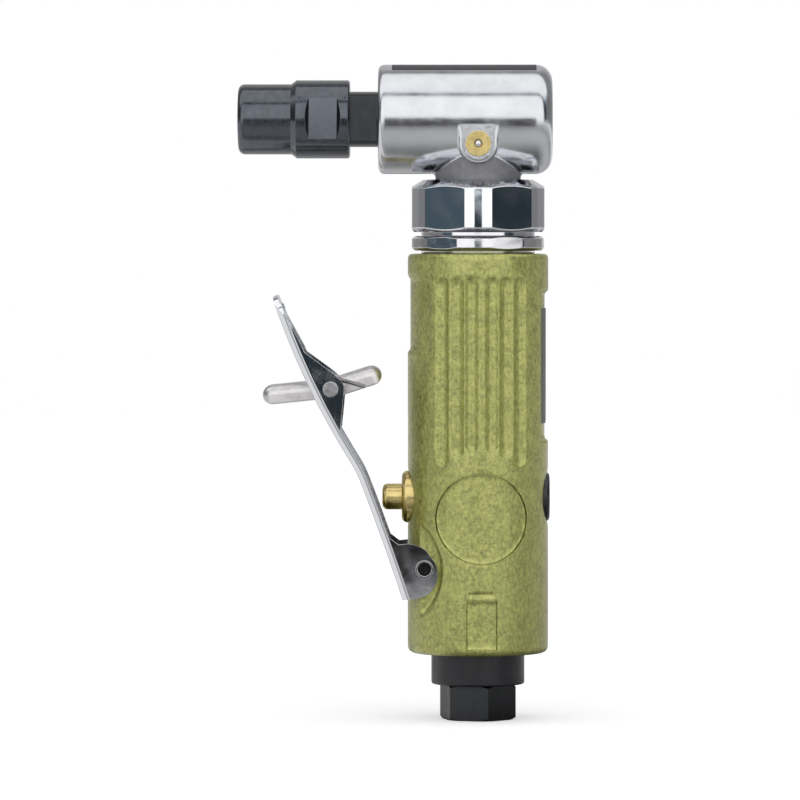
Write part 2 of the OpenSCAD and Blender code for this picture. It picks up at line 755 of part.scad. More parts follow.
module coupling_sleeve() {
    color("silver") difference() {
        union() {
            translate([0, 0, sleeve_z0]) cylinder(r = sleeve_thread_d / 2, h = handle_z1 - sleeve_z0);
            translate([0, 0, handle_z1]) cylinder(r = sleeve_r, h = flange_z0 - handle_z1);
        }
        translate([0, 0, sleeve_z0 - over]) cylinder(r = front_brg[1] / 2 - 0.9, h = big);
        translate([0, 0, sleeve_z0 + 2]) cylinder(r = sleeve_bore_d / 2, h = big);
    }
}
module lock_ring() {
    total = collar_low + ring_t + collar_high;
    color("silver") translate([0, 0, handle_z1]) difference() {
        union() {
            cylinder(r = sleeve_r + 0.35, h = total);
            translate([0, 0, collar_low]) turned_hex(ring_af, ring_corner_d / 2, ring_t, -64, 0.7, 0.7);
        }
        translate([0, 0, -over]) cylinder(r = sleeve_r, h = total + 2 * over);
    }
}
module clamp_nut() {
    color("silver") translate([0, 0, nut_z0]) difference() {
        turned_hex(nut_af, nut_corner_d / 2, nut_len, 0, 0.9, nut_top_chamfer);
        translate([0, 0, -over]) cylinder(r = sleeve_r, h = nut_len - nut_lip + over);
        cylinder(r = neck_r + 0.15, h = nut_len + over);
    }
}

module head_bores() {
    to_x(-head_front - over, axis_z) cylinder(r = spindle_brg[1] / 2, h = head_front + gear_back_x + over);
    to_x(gear_back_x - over, axis_z) cylinder(r = gear_tip_r + gear_room, h = tail_x0 - gear_back_x + over);
    to_x(tail_x0 - over, axis_z) cylinder(r = cup_r, h = cup_len + 0.6 + over);
    translate([0, 0, spigot_z0 - over]) cylinder(r = pinion_brg[1] / 2, h = axis_z - spigot_z0);
}
// The grease fitting's boss from the front: round below, straight up to the head's axis
module boss_outline() {
    polygon(concat(
        arc([0, 0], boss_d / 2, steps(180, 360, 16)),
        [[boss_d / 2, boss_drop], [-boss_d / 2, boss_drop]]
    ));
}
module angle_head() {
    fitting_z = axis_z - boss_drop;
    color("gainsboro") difference() {
        union() {
            to_x(-head_front, axis_z)
                drum(head_r, head_front + head_back, head_front_round, head_back_round);
            translate([0, 0, spigot_z0]) cylinder(r = neck_r, h = axis_z - spigot_z0);
            translate([0, 0, flange_z0]) cylinder(r = flange_r, h = flange_t);
            translate([0, 0, fitting_z]) rotate([90, 0, 0]) linear_extrude(height = boss_face) boss_outline();
        }
        head_bores();
        to_y(0, -boss_face - over, fitting_z) cylinder(r = fitting_d / 2 - 1, h = boss_face);
        difference() {
            translate([-21.5, -head_plate_w / 2, axis_z]) cube([head_plate_len, head_plate_w, 20]);
            to_x(-30, axis_z) cylinder(r = head_r - head_plate_t, h = big);
        }
    }
}
module head_plate() {
    color("dimgray") intersection() {
        to_x(-21.5, axis_z) ring(head_r, head_r - head_plate_t, head_plate_len);
        translate([-21.5, -head_plate_w / 2, axis_z]) cube([head_plate_len, head_plate_w, 20]);
    }
}
module grease_fitting() {
    ball_r = grease_ball_d / 2;
    depth = 4.5;
    color("goldenrod") translate([0, 0, axis_z - boss_drop]) difference() {
        union() {
            to_y(0, -boss_face - 0.8, 0) cylinder(r = fitting_d / 2, h = 0.8);
            to_y(0, -boss_face, 0) cylinder(r = fitting_d / 2 - 1, h = depth);
        }
        to_y(0, -boss_face - over - 0.8, 0) cylinder(r = ball_r * 0.85, h = 3);
        to_y(0, -boss_face - 0.4, 0) cylinder(r = ball_r + run_fit, h = depth + 1);
    }
}
module grease_ball() {
    ball_r = grease_ball_d / 2;
    seat = sqrt(ball_r * ball_r - pow(0.85 * ball_r, 2));
    color("lightgray") translate([0, -boss_face - 0.4 + seat + face_gap, axis_z - boss_drop])
        sphere(r = ball_r);
}

module bevel_pinion() {
    hub_z0 = pinion_brg_z + pinion_brg[2];
    color("steelblue") {
        translate([0, 0, pinion_z]) bevel_teeth(pinion_teeth, pinion_r, gear_r, pinion_tip_r);
        translate([0, 0, pinion_z - 1.2]) cylinder(r = pinion_r - 1.3, h = 1.3);
        translate([0, 0, hub_z0]) cylinder(r = pinion_hub_r, h = pinion_z - hub_z0);
        translate([0, 0, pinion_brg_z - 1]) cylinder(r = pinion_brg[0] / 2, h = hub_z0 - pinion_brg_z + 2);
        translate([0, 0, rotor_top_z - socket_depth + 0.5])
            cylinder(r = pinion_shank_r, h = pinion_brg_z - rotor_top_z + socket_depth);
    }
}
module pinion_snap_ring() {
    color("dimgray") translate([0, 0, pinion_brg_z - 0.8]) difference() {
        ring(pinion_brg[1] / 2, pinion_brg[1] / 2 - 1, 0.8);
        translate([0, -1, -over]) cube([big, 2, 2]);
    }
}
module bevel_gear() {
    color("steelblue") difference() {
        union() {
            to_x(-pinion_r, axis_z) rotate([0, 0, 180 / gear_teeth])
                bevel_teeth(gear_teeth, gear_r, pinion_r, gear_tip_r);
            to_x(gear_back_x + 3, axis_z) cylinder(r = gear_r - 1.2, h = gear_hub_len - 2.9);
            to_x(gear_back_x, axis_z) cylinder(r = seat_r + 1.6, h = 4);
        }
        to_x(gear_back_x - over, axis_z) cylinder(r = seat_r, h = 20);
        translate([gear_back_x - over, -1, axis_z]) cube([4 + over, 2, seat_r + 0.8]);
    }
}
module gear_key() {
    color("dimgray") translate([gear_back_x + 0.3, -1, axis_z + seat_r - 1.2]) cube([3.4, 2, 2]);
}
module spindle() {
    shoulder_x = spindle_brg_x - 0.1;
    color("dimgray") difference() {
        union() {
            to_x(nose_x, axis_z) cylinder(r = nose_d / 2, h = nose_len + over);
            to_x(nut_back_x, axis_z) cylinder(r = spindle_r, h = shoulder_x - nut_back_x);
            to_x(shoulder_x - 1, axis_z) cylinder(r = seat_r, h = 1 - pinion_r + 1.4 - shoulder_x);
            to_x(-pinion_r, axis_z) cylinder(r = shaft_r, h = pinion_r + tail_x0 - 0.4);
            to_x(0, axis_z) cylinder(r = tail_r, h = tail_x0 + cup_len);
        }
        both_sides() translate([nut_back_x - over, spindle_af / 2, axis_z - 10])
            cube([spindle_gap - 0.3 + over, 10, 20]);
        to_x(nose_x, axis_z) cylinder(
            r1 = collet_body_r + 0.02, r2 = collet_back_r + 0.02, h = collet_back_x - nose_x + 0.05
        );
        to_x(nose_x - over, axis_z) cylinder(r = collet_body_r + 0.02, h = over + 0.01);
        to_x(nose_x - over, axis_z) cylinder(r = collet_bore_d / 2 + 0.5, h = 24);
        translate([gear_back_x + 0.3, -1, axis_z + seat_r - 1.2]) cube([3.4, 2, 2]);
    }
}
module bearing_retainer() {
    x0 = -head_front + retainer_inset;
    len = spindle_brg_x - x0;
    seal_x = len / 2;
    color("gray") to_x(x0, axis_z) difference() {
        cylinder(r = spindle_brg[1] / 2, h = len);
        translate([0, 0, -over]) cylinder(r = spindle_r + run_fit, h = len + 2 * over);
        translate([0, 0, len - 0.5]) cylinder(r = spindle_brg[1] / 2 - 1.5, h = 1);
        translate([0, 0, seal_x]) cylinder(r = seal_r, h = seal_w);
        for (a = [0, 180]) rotate([0, 0, a]) translate([9.1, 0, -over]) cylinder(r = 0.8, h = 2.5);
    }
}
module spindle_seal() {
    x0 = -head_front + retainer_inset;
    len = spindle_brg_x - x0;
    color("tan") to_x(x0 + len / 2, axis_z) ring(seal_r, spindle_r + run_fit, seal_w);
}
module tail_bearing_cup() {
    color("gray") to_x(tail_x0, axis_z) difference() {
        cylinder(r = cup_r, h = cup_len);
        translate([0, 0, 0.4]) cylinder(r = needle_pitch_r + needle_r + run_fit, h = cup_len - 0.8);
        translate([0, 0, -over]) cylinder(r = tail_r + 0.3, h = cup_len + 2 * over);
    }
}
module tail_bearing_needles() {
    color("silver") to_x(tail_x0 + 0.5, axis_z) for (i = [0 : needle_count - 1])
        rotate([0, 0, i * 360 / needle_count]) translate([needle_pitch_r, 0, 0])
            cylinder(r = needle_r, h = cup_len - 1);
}
module collet() {
    long = collet_back_x - collet_face_x;
    cone_end = collet_lip_len;
    cone_start = cone_end + collet_cone_len;
    taper_start = nose_x - collet_face_x;
    color("dimgray") to_x(collet_face_x, axis_z) difference() {
        rotate_extrude() polygon([
            [collet_bore_d / 2, 0], [collet_nose_r, 0], [collet_nose_r, cone_end],
            [collet_body_r, cone_start], [collet_body_r, taper_start],
            [collet_back_r, long], [collet_bore_d / 2, long]
        ]);
        for (a = [45, 135]) rotate([0, 0, a]) translate([-10, -collet_slot_w / 2, -over])
            cube([20, collet_slot_w, 0.75 * long]);
    }
}
module collet_nut() {
    fit = 0.1;
    total = nut_rear_len + nut_front_len;
    lip_end = collet_lip_len + collet_face_x - nut_face_x;
    color("dimgray") to_x(nut_face_x, axis_z) difference() {
        rotate_extrude() difference() {
            polygon([
                [0, 0], [nut_front_d / 2, 0], [nut_front_d / 2, nut_front_len - 0.4],
                [nut_rear_d / 2 - 0.1, nut_front_len + 0.8], [nut_rear_d / 2, nut_front_len + 0.9],
                [nut_rear_d / 2, total - 0.4], [nut_rear_d / 2 - 0.4, total], [0, total]
            ]);
            edge_waste(nut_front_d / 2, 1.6);
        }
        rotate_extrude() polygon([
            [0, -over], [collet_nose_r + fit, -over], [collet_nose_r + fit, lip_end],
            [collet_body_r + fit, lip_end + collet_cone_len], [collet_body_r + fit, total - nose_len - 0.5],
            [nose_d / 2 + run_fit, total - nose_len - 0.5], [nose_d / 2 + run_fit, total + over],
            [0, total + over]
        ]);
        both_sides() translate([0, collet_nut_af / 2, total - nut_rear_len / 2 + collet_nut_flat_shift])
            rotate([0, -90, 0]) linear_extrude(height = 30, center = true) polygon([
                [-collet_nut_flat_len / 2, 0], [collet_nut_flat_len / 2, 0],
                [collet_nut_flat_len / 2 + 2, 3], [-collet_nut_flat_len / 2 - 2, 3]
            ]);
    }
}

// Stretches of the lever's outer face, from tip to foot, as stations [lean, point]
function steps(a, b, n, first = 0) = [for (i = [first : n]) a + (b - a) * i / n];
tip_part = [for (a = steps(lever_tip_lean, ear_top_lean, 3)) [a, on_upper(a, 0)]];
ear_part = [for (a = steps(ear_top_lean, ear_low_lean, 3, 1)) [a, on_upper(a, 0)]];
middle_part = concat(
    [for (a = steps(ear_low_lean, lever_upper_lean, 2)) [a, on_upper(a, 0)]],
    [for (a = steps(lever_upper_lean, lever_lower_lean, 4, 1)) [a, knee_c + lever_knee_r * dir(a)]],
    [for (a = steps(lever_lower_lean, hinge_ear_lean, 5, 1)) [a, on_lower(a, 0)]]
);
foot_part = [for (a = steps(hinge_ear_lean, lever_foot_lean, 4, 1)) [a, on_lower(a, 0)]];
lever_stations = concat(
    tip_part, ear_part, [for (i = [1 : len(middle_part) - 1]) middle_part[i]], foot_part
);
function edge(part, depth) = [for (s = part) s[1] + depth * dir(s[0])];
function back(list) = [for (i = [len(list) - 1 : -1 : 0]) list[i]];
function arc(c, r, angles) = [for (a = angles) c + r * dir(a)];

// The lever seen from the side, its ears in one piece with its walls
module lever_side() {
    polygon(concat(
        edge(lever_stations, 0),
        arc(hinge_ear_c, hinge_ear_r, steps(-78, 30, 9)),
        arc(hinge_brow_c, hinge_brow_r, steps(50, 88, 4)),
        [on_lower(hinge_ear_lean - ear_blend / lever_lower_r * 180 / PI, lever_depth + 1.5)],
        back(edge(middle_part, lever_depth)),
        arc(safety_pivot, safety_ear_r, steps(-12, 38, 5)),
        [safety_pivot + 1.22 * safety_ear_r * dir(83)],
        back(edge(tip_part, lever_tip_depth))
    ));
}
// All that lies behind the lever's web, from above its tip to below its foot
module behind_web() {
    face = edge(lever_stations, lever_t);
    rise = 6 * dir(lever_tip_lean + 90);
    drop = 6 * dir(lever_foot_lean - 90);
    polygon(concat(
        [face[0] + rise], face, [face[len(face) - 1] + drop, [20, -20], [20, lever_tip[1] + 20]]
    ));
}
module lever_channel() {
    difference() {
        translate([0, lever_half, 0]) rotate([90, 0, 0]) linear_extrude(height = lever_w) lever_side();
        translate([0, lever_half - lever_t, 0]) rotate([90, 0, 0])
            linear_extrude(height = lever_w - 2 * lever_t) behind_web();
    }
}
// Trims the side walls so that they run out towards the tip
module tip_taper() {
    p = lever_tip;
    translate([0, lever_half + 1, 0]) rotate([90, 0, 0]) linear_extrude(height = lever_w + 2)
        polygon([
            p + [1.35, 0.6], p + [3.2, -4.6], p + [7.9, -13.2],
            p + [20, -13.2], p + [20, 6], p + [1.35, 6]
        ]);
}
module tip_corners() {
    translate([lever_tip[0], 0, lever_tip[1]]) rotate([0, -lever_tip_lean, 0])
        both_sides() translate([-10, lever_half - tip_corner_r, -tip_corner_r]) rotate([0, 90, 0])
            difference() {
                translate([-tip_corner_r - 4, 0, 0]) cube([tip_corner_r + 4, tip_corner_r + 2, 20]);
                translate([0, 0, -over]) cylinder(r = tip_corner_r, h = 20 + 2 * over);
            }
}
// The web's window that the safety lever folds into, square to the web at the safety pivot
module safety_window() {
    translate([safety_pivot[0], -slot_w / 2, safety_pivot[1]]) rotate([0, -safety_lean, 0])
        translate([-slot_reach, 0, -slot_down]) cube([slot_reach, slot_w, slot_down + slot_up]);
}
module throttle_lever() {
    color("silver") translate([hinge_x, 0, hinge_z]) difference() {
        lever_channel();
        tip_taper();
        tip_corners();
        safety_window();
        translate([-big, -foot_window_y, foot_window_z - big]) cube([2 * big, 2 * foot_window_y, big]);
        to_y(0, -lever_half - over, 0) cylinder(r = lever_pin_r + run_fit, h = lever_w + 2 * over);
        to_y(safety_pivot[0], -lever_half - over, safety_pivot[1])
            cylinder(r = safety_pin_d / 2, h = lever_w + 2 * over);
    }
}
module lever_pin() {
    len = lever_w + 0.4;
    bore_r = lever_pin_r - lever_pin_wall;
    color("gray") to_y(hinge_x, -len / 2, hinge_z) difference() {
        cylinder(r = lever_pin_r, h = len);
        translate([0, 0, -over]) cylinder(r = bore_r, h = lever_pin_bore + over);
        translate([0, 0, len - lever_pin_bore]) cylinder(r = bore_r, h = lever_pin_bore + over);
    }
}
module safety_pin() {
    p = safety_pivot + [hinge_x, hinge_z];
    color("gray") to_y(p[0], -lever_half - 0.35, p[1]) {
        cylinder(r = safety_pin_d / 2, h = lever_w + 0.7);
        cylinder(r = safety_pin_d / 2 + 0.3, h = 0.35);
        translate([0, 0, lever_w + 0.35]) cylinder(r = safety_pin_d / 2 + 0.3, h = 0.35);
    }
}
// The safety lever seen from the side: two arms with round ends that meet above the pin
function arm_ends(half) =
    concat(
        arc(safety_inner * dir(inner_dir), half, steps(inner_dir - 90, inner_dir + 90, 12)),
        [half / cos((outer_dir - 180 - inner_dir) / 2) * dir((inner_dir + outer_dir) / 2)],
        arc(safety_outer * dir(outer_dir), half, steps(outer_dir - 90, outer_dir + 90, 12))
    );
module safety_lever() {
    p = safety_pivot + [hinge_x, hinge_z];
    half = safety_h / 2;
    spread = acos(half / safety_boss_r);
    color("gainsboro") translate([p[0], 0, p[1]]) difference() {
        translate([0, safety_w / 2, 0]) rotate([90, 0, 0]) linear_extrude(height = safety_w)
            polygon(concat(
                arm_ends(half),
                arc([0, 0], safety_boss_r, steps(outer_dir + 90 - spread, inner_dir + 270 + spread, 8))
            ));
        translate([0, safety_w / 2 - safety_t, 0]) rotate([90, 0, 0])
            linear_extrude(height = safety_w - 2 * safety_t)
                polygon(concat(
                    arm_ends(half - safety_t),
                    [[-safety_outer, -4 * half], [safety_inner, -4 * half]]
                ));
        to_y(0, -safety_w, 0) cylinder(r = safety_pin_d / 2 + run_fit, h = 2 * safety_w);
    }
}
// The torsion spring: a leg along the web, the coil, and a leg along the inner arm
function safety_path() =
    let (
        r = safety_coil_r, a0 = web_leg_dir - 90, a1 = leg_dir + 90,
        sweep = a0 - a1 + 360 * safety_coil_turns,
        steps = ceil(sweep / 360 * RINGS_PER_COIL),
        rise = safety_coil_pitch * sweep / 360,
        y1 = -safety_w / 2 - coil_gap_y - safety_wire_d / 2,
        y0 = y1 - rise,
        start = r * [cos(a0), sin(a0)], stop = r * [cos(a1), sin(a1)]
    ) concat(
        [for (s = [1, 0.5]) [
            start[0] + s * web_leg_len * cos(web_leg_dir), y0, start[1] + s * web_leg_len * sin(web_leg_dir)
        ]],
        [for (i = [0 : steps]) let (a = a0 - sweep * i / steps)
            [r * cos(a), y0 + rise * i / steps, r * sin(a)]],
        [for (s = [0.5, 1]) [
            stop[0] + s * inner_leg_len * cos(leg_dir), y1, stop[1] + s * inner_leg_len * sin(leg_dir)
        ]]
    );
module safety_spring() {
    p = safety_pivot + [hinge_x, hinge_z];
    path = safety_path();
    echo("safety spring gap", self_gap(path, safety_wire_d));
    color("gray") translate([p[0], 0, p[1]]) wire(path, safety_wire_d / 2, [0, 1, 0]);
}

module valve_stem() {
    tail_x = flange_x + 1 + 2.2;
    color("goldenrod") to_x(button_x, valve_z) rotate_extrude() difference() {
        polygon([
            [0, 0], [button_r, 0], [button_r, stem_step_x - button_x], [stem_r, stem_step_x - button_x],
            [stem_r, flange_x - button_x], [chamber_r - 1.5, flange_x - button_x],
            [chamber_r - 1.5, flange_x + 1 - button_x], [stem_r, flange_x + 1 - button_x],
            [stem_r, tail_x - button_x], [0, tail_x - button_x]
        ]);
        edge_waste(button_r, button_dome);
    }
}
module valve_disc() {
    color("black") to_x(seat_x1 + face_gap, valve_z) ring(chamber_r - 1.7, stem_r, disc_t);
}
module valve_bushing() {
    head_end = bushing_x + bushing_head_t;
    color("goldenrod") to_x(bushing_x, valve_z) rotate_extrude() difference() {
        polygon([
            [button_r + run_fit, 0], [bushing_d / 2, 0], [bushing_d / 2, bushing_head_t],
            [chamber_r, bushing_head_t], [chamber_r, bushing_end_x - bushing_x],
            [button_r + run_fit, bushing_end_x - bushing_x]
        ]);
        edge_waste(bushing_d / 2, 1.4);
        translate([chamber_r, -8 - bushing_x]) circle(r = 0.8);
    }
}
module bushing_seal() {
    color("black") to_x(-8, valve_z) rotate_extrude() intersection() {
        translate([chamber_r, 0]) circle(r = 0.75);
        translate([0, -2]) square([chamber_r, 4]);
    }
}
module valve_seat() {
    color("darkgray") to_x(seat_x0, valve_z) ring(chamber_r, stem_r + 1.1, seat_x1 - seat_x0);
}
// The valve spring's coil, along X
function valve_path() =
    let (
        r = valve_wire_d / 2, x0 = spring_x0 + r, run = spring_x1 - r - x0,
        steps = valve_coils * RINGS_PER_COIL
    )
    [for (i = [0 : steps]) let (a = 360 * valve_coils * i / steps)
        [x0 + run * i / steps, spring_mean_r * cos(a), spring_mean_r * sin(a)]];
module valve_spring() {
    path = valve_path();
    echo("valve spring gap", self_gap(path, valve_wire_d));
    color("gray") translate([0, 0, valve_z]) wire(path, valve_wire_d / 2, [1, 0, 0]);
}
module regulator_knob() {
    gap = face_gap;
    head = knob_t;
    color("black") difference() {
        union() {
            to_x(knob_face_x + gap + head, valve_z) mirror([0, 0, 1]) drum(knob_d / 2, head, 1.2, 0.2);
            to_x(shank_x0, valve_z) cylinder(r = knob_shank_d / 2, h = knob_face_x + gap + 0.3 - shank_x0);
        }
        to_x(shank_x0 - over, valve_z) cylinder(r = spring_mean_r + 0.7, h = pocket_x1 - shank_x0 + over);
        translate([shank_x0 - over, -10, valve_z - 10]) cube([3.2, 20, 10]);
        to_x(11.5, valve_z) rotate_extrude() translate([knob_shank_d / 2, 0]) circle(r = 0.8);
        translate([handle_r - 0.3, -0.5, valve_z - 3.2]) cube([5, 1, 6.4]);
    }
}
module regulator_seal() {
    color("black") to_x(11.5, valve_z) rotate_extrude() intersection() {
        translate([knob_shank_d / 2, 0]) circle(r = 0.75);
        translate([0, -2]) square([knob_shank_d / 2, 4]);
    }
}

module inlet_bushing() {
    color("dimgray") difference() {
        union() {
            turned_hex(inlet_af, inlet_af / sqrt(3), inlet_hex_len, inlet_turn - 90, 0.6, 0.6);
            translate([0, 0, inlet_hex_len - over])
                cylinder(r = inlet_shank_r, h = inlet_top_z - inlet_hex_len + over);
        }
        translate([0, 0, -over]) cylinder(r = pipe_r, h = pipe_depth + over);
        cylinder(r = screen_r, h = pipe_depth + screen_t);
        cylinder(r = air_way_r, h = big);
    }
}
module inlet_screen() {
    color("silver") translate([0, 0, pipe_depth]) difference() {
        cylinder(r = screen_r, h = screen_t);
        for (i = [-2 : 2]) for (j = [-2 : 2])
            translate([i * 1.6, j * 1.6, -over]) cylinder(r = 0.5, h = screen_t + 2 * over);
    }
}
module exhaust_deflector() {
    gap = face_gap;
    inner_r = deflector_r - deflector_wall;
    body_len = deflector_len - 2 * gap;
    color("black") translate([0, 0, inlet_hex_len + gap]) difference() {
        union() {
            drum(deflector_r, body_len, 0.5, 0.3);
            ring(exhaust_r1 - 0.1, exhaust_r1 - 1, body_len + lip_len);
        }
        translate([0, 0, 1.4]) cylinder(r = inner_r - 0.3, h = 20);
        translate([0, 0, -over]) cylinder(r = inlet_shank_r + run_fit, h = 20);
        for (i = [0 : deflector_ports - 1]) rotate([0, 0, 90 + (i - (deflector_ports - 1) / 2) * 40])
            translate([5, -2.6, 2.4]) cube([10, 5.2, body_len - 4.6]);
    }
}
module exhaust_felt() {
    inner_r = deflector_r - deflector_wall;
    color("tan") translate([0, 0, inlet_hex_len + face_gap + 1.4])
        ring(inner_r - 0.3, inlet_shank_r + 0.8, deflector_len - 3);
}

housing();
side_plate();
angle_head();
head_plate();
clamp_nut();
lock_ring();
coupling_sleeve();
grease_fitting();
grease_ball();
throttle_lever();
lever_pin();
safety_lever();
safety_pin();
safety_spring();
valve_stem();
valve_disc();
valve_bushing();
bushing_seal();
valve_seat();
valve_spring();
regulator_knob();
regulator_seal();
exhaust_deflector();
exhaust_felt();
inlet_bushing();
inlet_screen();
rear_gasket();
rear_plate();
motor_cylinder();
front_plate();
cylinder_pin();
rotor();
rotor_vanes();
at_rear() bearing_outer(rear_brg);  // rear_bearing_outer
at_rear() bearing_inner(rear_brg);  // rear_bearing_inner
at_rear() bearing_balls(rear_brg);  // rear_bearing_balls
at_front() bearing_outer(front_brg);  // front_bearing_outer
at_front() bearing_inner(front_brg);  // front_bearing_inner
at_front() bearing_balls(front_brg);  // front_bearing_balls
bevel_pinion();
at_pinion() bearing_outer(pinion_brg);  // pinion_bearing_outer
at_pinion() bearing_inner(pinion_brg);  // pinion_bearing_inner
at_pinion() bearing_balls(pinion_brg);  // pinion_bearing_balls
pinion_snap_ring();
spindle();
bevel_gear();
gear_key();
at_spindle() bearing_outer(spindle_brg);  // spindle_bearing_outer
at_spindle() bearing_inner(spindle_brg);  // spindle_bearing_inner
at_spindle() bearing_balls(spindle_brg);  // spindle_bearing_balls
bearing_retainer();
spindle_seal();
tail_bearing_cup();
tail_bearing_needles();
collet();
collet_nut();
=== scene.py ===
import json
import math

import bmesh
import bpy
from bpy.props import FloatProperty, FloatVectorProperty, IntProperty, PointerProperty
from mathutils import Matrix, Vector


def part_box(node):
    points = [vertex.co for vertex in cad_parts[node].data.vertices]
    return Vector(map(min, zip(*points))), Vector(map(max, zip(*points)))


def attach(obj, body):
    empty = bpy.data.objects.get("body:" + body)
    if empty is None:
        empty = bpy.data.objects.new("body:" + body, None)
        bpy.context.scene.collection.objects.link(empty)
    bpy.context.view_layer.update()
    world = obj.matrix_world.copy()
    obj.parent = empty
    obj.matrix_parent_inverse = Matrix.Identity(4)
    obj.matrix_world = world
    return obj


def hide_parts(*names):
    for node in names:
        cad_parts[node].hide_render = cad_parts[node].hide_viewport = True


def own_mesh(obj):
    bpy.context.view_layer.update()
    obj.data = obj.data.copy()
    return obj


bl_info = {
    "name": "Right Angle Die Grinder",
    "version": (1, 0, 0),
    "blender": (4, 5, 0),
    "location": "View3D > Sidebar > Die Grinder",
    "description": (
        "Dresses the packed grinder: cast handle, turned head, folded levers, springs and finishes"
    ),
    "category": "Object",
}

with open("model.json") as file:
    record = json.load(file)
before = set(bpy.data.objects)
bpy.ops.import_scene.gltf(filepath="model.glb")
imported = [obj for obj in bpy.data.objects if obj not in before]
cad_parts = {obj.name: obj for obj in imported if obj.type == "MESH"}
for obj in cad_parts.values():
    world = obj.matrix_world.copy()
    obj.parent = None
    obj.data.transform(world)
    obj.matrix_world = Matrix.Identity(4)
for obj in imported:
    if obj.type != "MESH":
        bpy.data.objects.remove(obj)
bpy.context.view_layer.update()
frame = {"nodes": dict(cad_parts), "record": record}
MM = 0.001

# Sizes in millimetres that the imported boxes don't tell
NECK_RADIUS = 10.65
BOSS_DROP = 6.3
BOSS_FACE = 13.55
BOSS_RADIUS = 4.9
MOTOR_BORE = 13.55
MEDALLION_UP = 34.1
PATTERN_TURN = 3

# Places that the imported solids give
HEAD_LOW, HEAD_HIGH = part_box("angle_head")
HANDLE_LOW, HANDLE_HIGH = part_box("housing")
PIN_LOW, PIN_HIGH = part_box("safety_pin")
HINGE_LOW, HINGE_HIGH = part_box("lever_pin")
SPINDLE_LOW, SPINDLE_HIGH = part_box("spindle")
AXIS_Z = (SPINDLE_LOW.z + SPINDLE_HIGH.z) / 2
SAFETY_PIVOT = (PIN_LOW + PIN_HIGH) / 2
HINGE = (HINGE_LOW + HINGE_HIGH) / 2


# ---------------------------------------------------------------- shader maths
class Wire:
    """A value in a shader, on which Python's own operators work."""

    def __init__(self, board, socket):
        self.board = board
        self.socket = socket

    def maths(self, operation, *values):
        return self.board.node(
            "ShaderNodeMath", {"operation": operation}, dict(enumerate(values))
        )

    def __add__(self, other):
        return self.maths("ADD", self, other)

    __radd__ = __add__

    def __sub__(self, other):
        return self.maths("SUBTRACT", self, other)

    def __rsub__(self, other):
        return self.maths("SUBTRACT", other, self)

    def __mul__(self, other):
        return self.maths("MULTIPLY", self, other)

    __rmul__ = __mul__

    def __truediv__(self, other):
        return self.maths("DIVIDE", self, other)

    def __pow__(self, other):
        return self.maths("POWER", self, other)

    def __abs__(self):
        return self.maths("ABSOLUTE", self)

    def least(self, other):
        return self.maths("MINIMUM", self, other)

    def most(self, other):
        return self.maths("MAXIMUM", self, other)


class Board:
    """The node tree of a finish or of the studio."""

    def __init__(self, tree):
        self.tree = tree
        tree.nodes.clear()

    def node(self, kind, settings=None, sockets=None, out=0):
        made = self.tree.nodes.new(kind)
        for key, value in (settings or {}).items():
            setattr(made, key, value)
        for key, value in (sockets or {}).items():
            if isinstance(value, Wire):
                self.tree.links.new(value.socket, made.inputs[key])
            else:
                made.inputs[key].default_value = value
        return Wire(self, made.outputs[out]) if made.outputs else None

    def place(self):
        return self.node("ShaderNodeTexCoord", out="Object")

    def stretched(self, scale):
        return self.node("ShaderNodeMapping", {}, {"Vector": self.place(), "Scale": scale})

    def noise(self, size, detail=2.0, rough=0.5, at=None):
        """Cloudy grain whose blotches are about this many millimetres across."""
        return self.node(
            "ShaderNodeTexNoise",
            {},
            {
                "Vector": at or self.place(), "Scale": 1 / (size * MM),
                "Detail": detail, "Roughness": rough,
            },
        )

    def cells(self, size, smooth=1.0, at=None):
        """Rounded dimples of about this size in millimetres."""
        return self.node(
            "ShaderNodeTexVoronoi",
            {"feature": "SMOOTH_F1"},
            {"Vector": at or self.place(), "Scale": 1 / (size * MM), "Smoothness": smooth},
        )

    def between(self, value, low, high, start=0.0, end=1.0):
        """Runs smoothly from start to end while the value goes from low to high."""
        return self.node(
            "ShaderNodeMapRange",
            {"interpolation_type": "SMOOTHSTEP"},
            {"Value": value, "From Min": low, "From Max": high, "To Min": start, "To Max": end},
        )

    def mix(self, share, first, second):
        return self.node(
            "ShaderNodeMix", {"data_type": "RGBA"}, {0: share, 6: first, 7: second}, out=2
        )

    def bump(self, height, depth, strength=1.0):
        return self.node(
            "ShaderNodeBump", {}, {"Height": height, "Distance": depth * MM, "Strength": strength}
        )

    def turned(self, axis, centre):
        """Coordinates that stay the same round an axis, as a lathe's marks do."""
        moved = self.node(
            "ShaderNodeVectorMath", {"operation": "SUBTRACT"}, {0: self.place(), 1: centre}
        )
        parts = [self.node("ShaderNodeSeparateXYZ", {}, {0: moved}, out=i) for i in range(3)]
        along = parts.pop(axis)
        radius = (parts[0] * parts[0] + parts[1] * parts[1]) ** 0.5
        return self.node("ShaderNodeCombineXYZ", {}, {0: along, 1: radius})


def paint(colour, alpha=1.0):
    return (colour[0], colour[1], colour[2], alpha)


def shade(colour, level):
    return (colour[0] * level, colour[1] * level, colour[2] * level, 1.0)


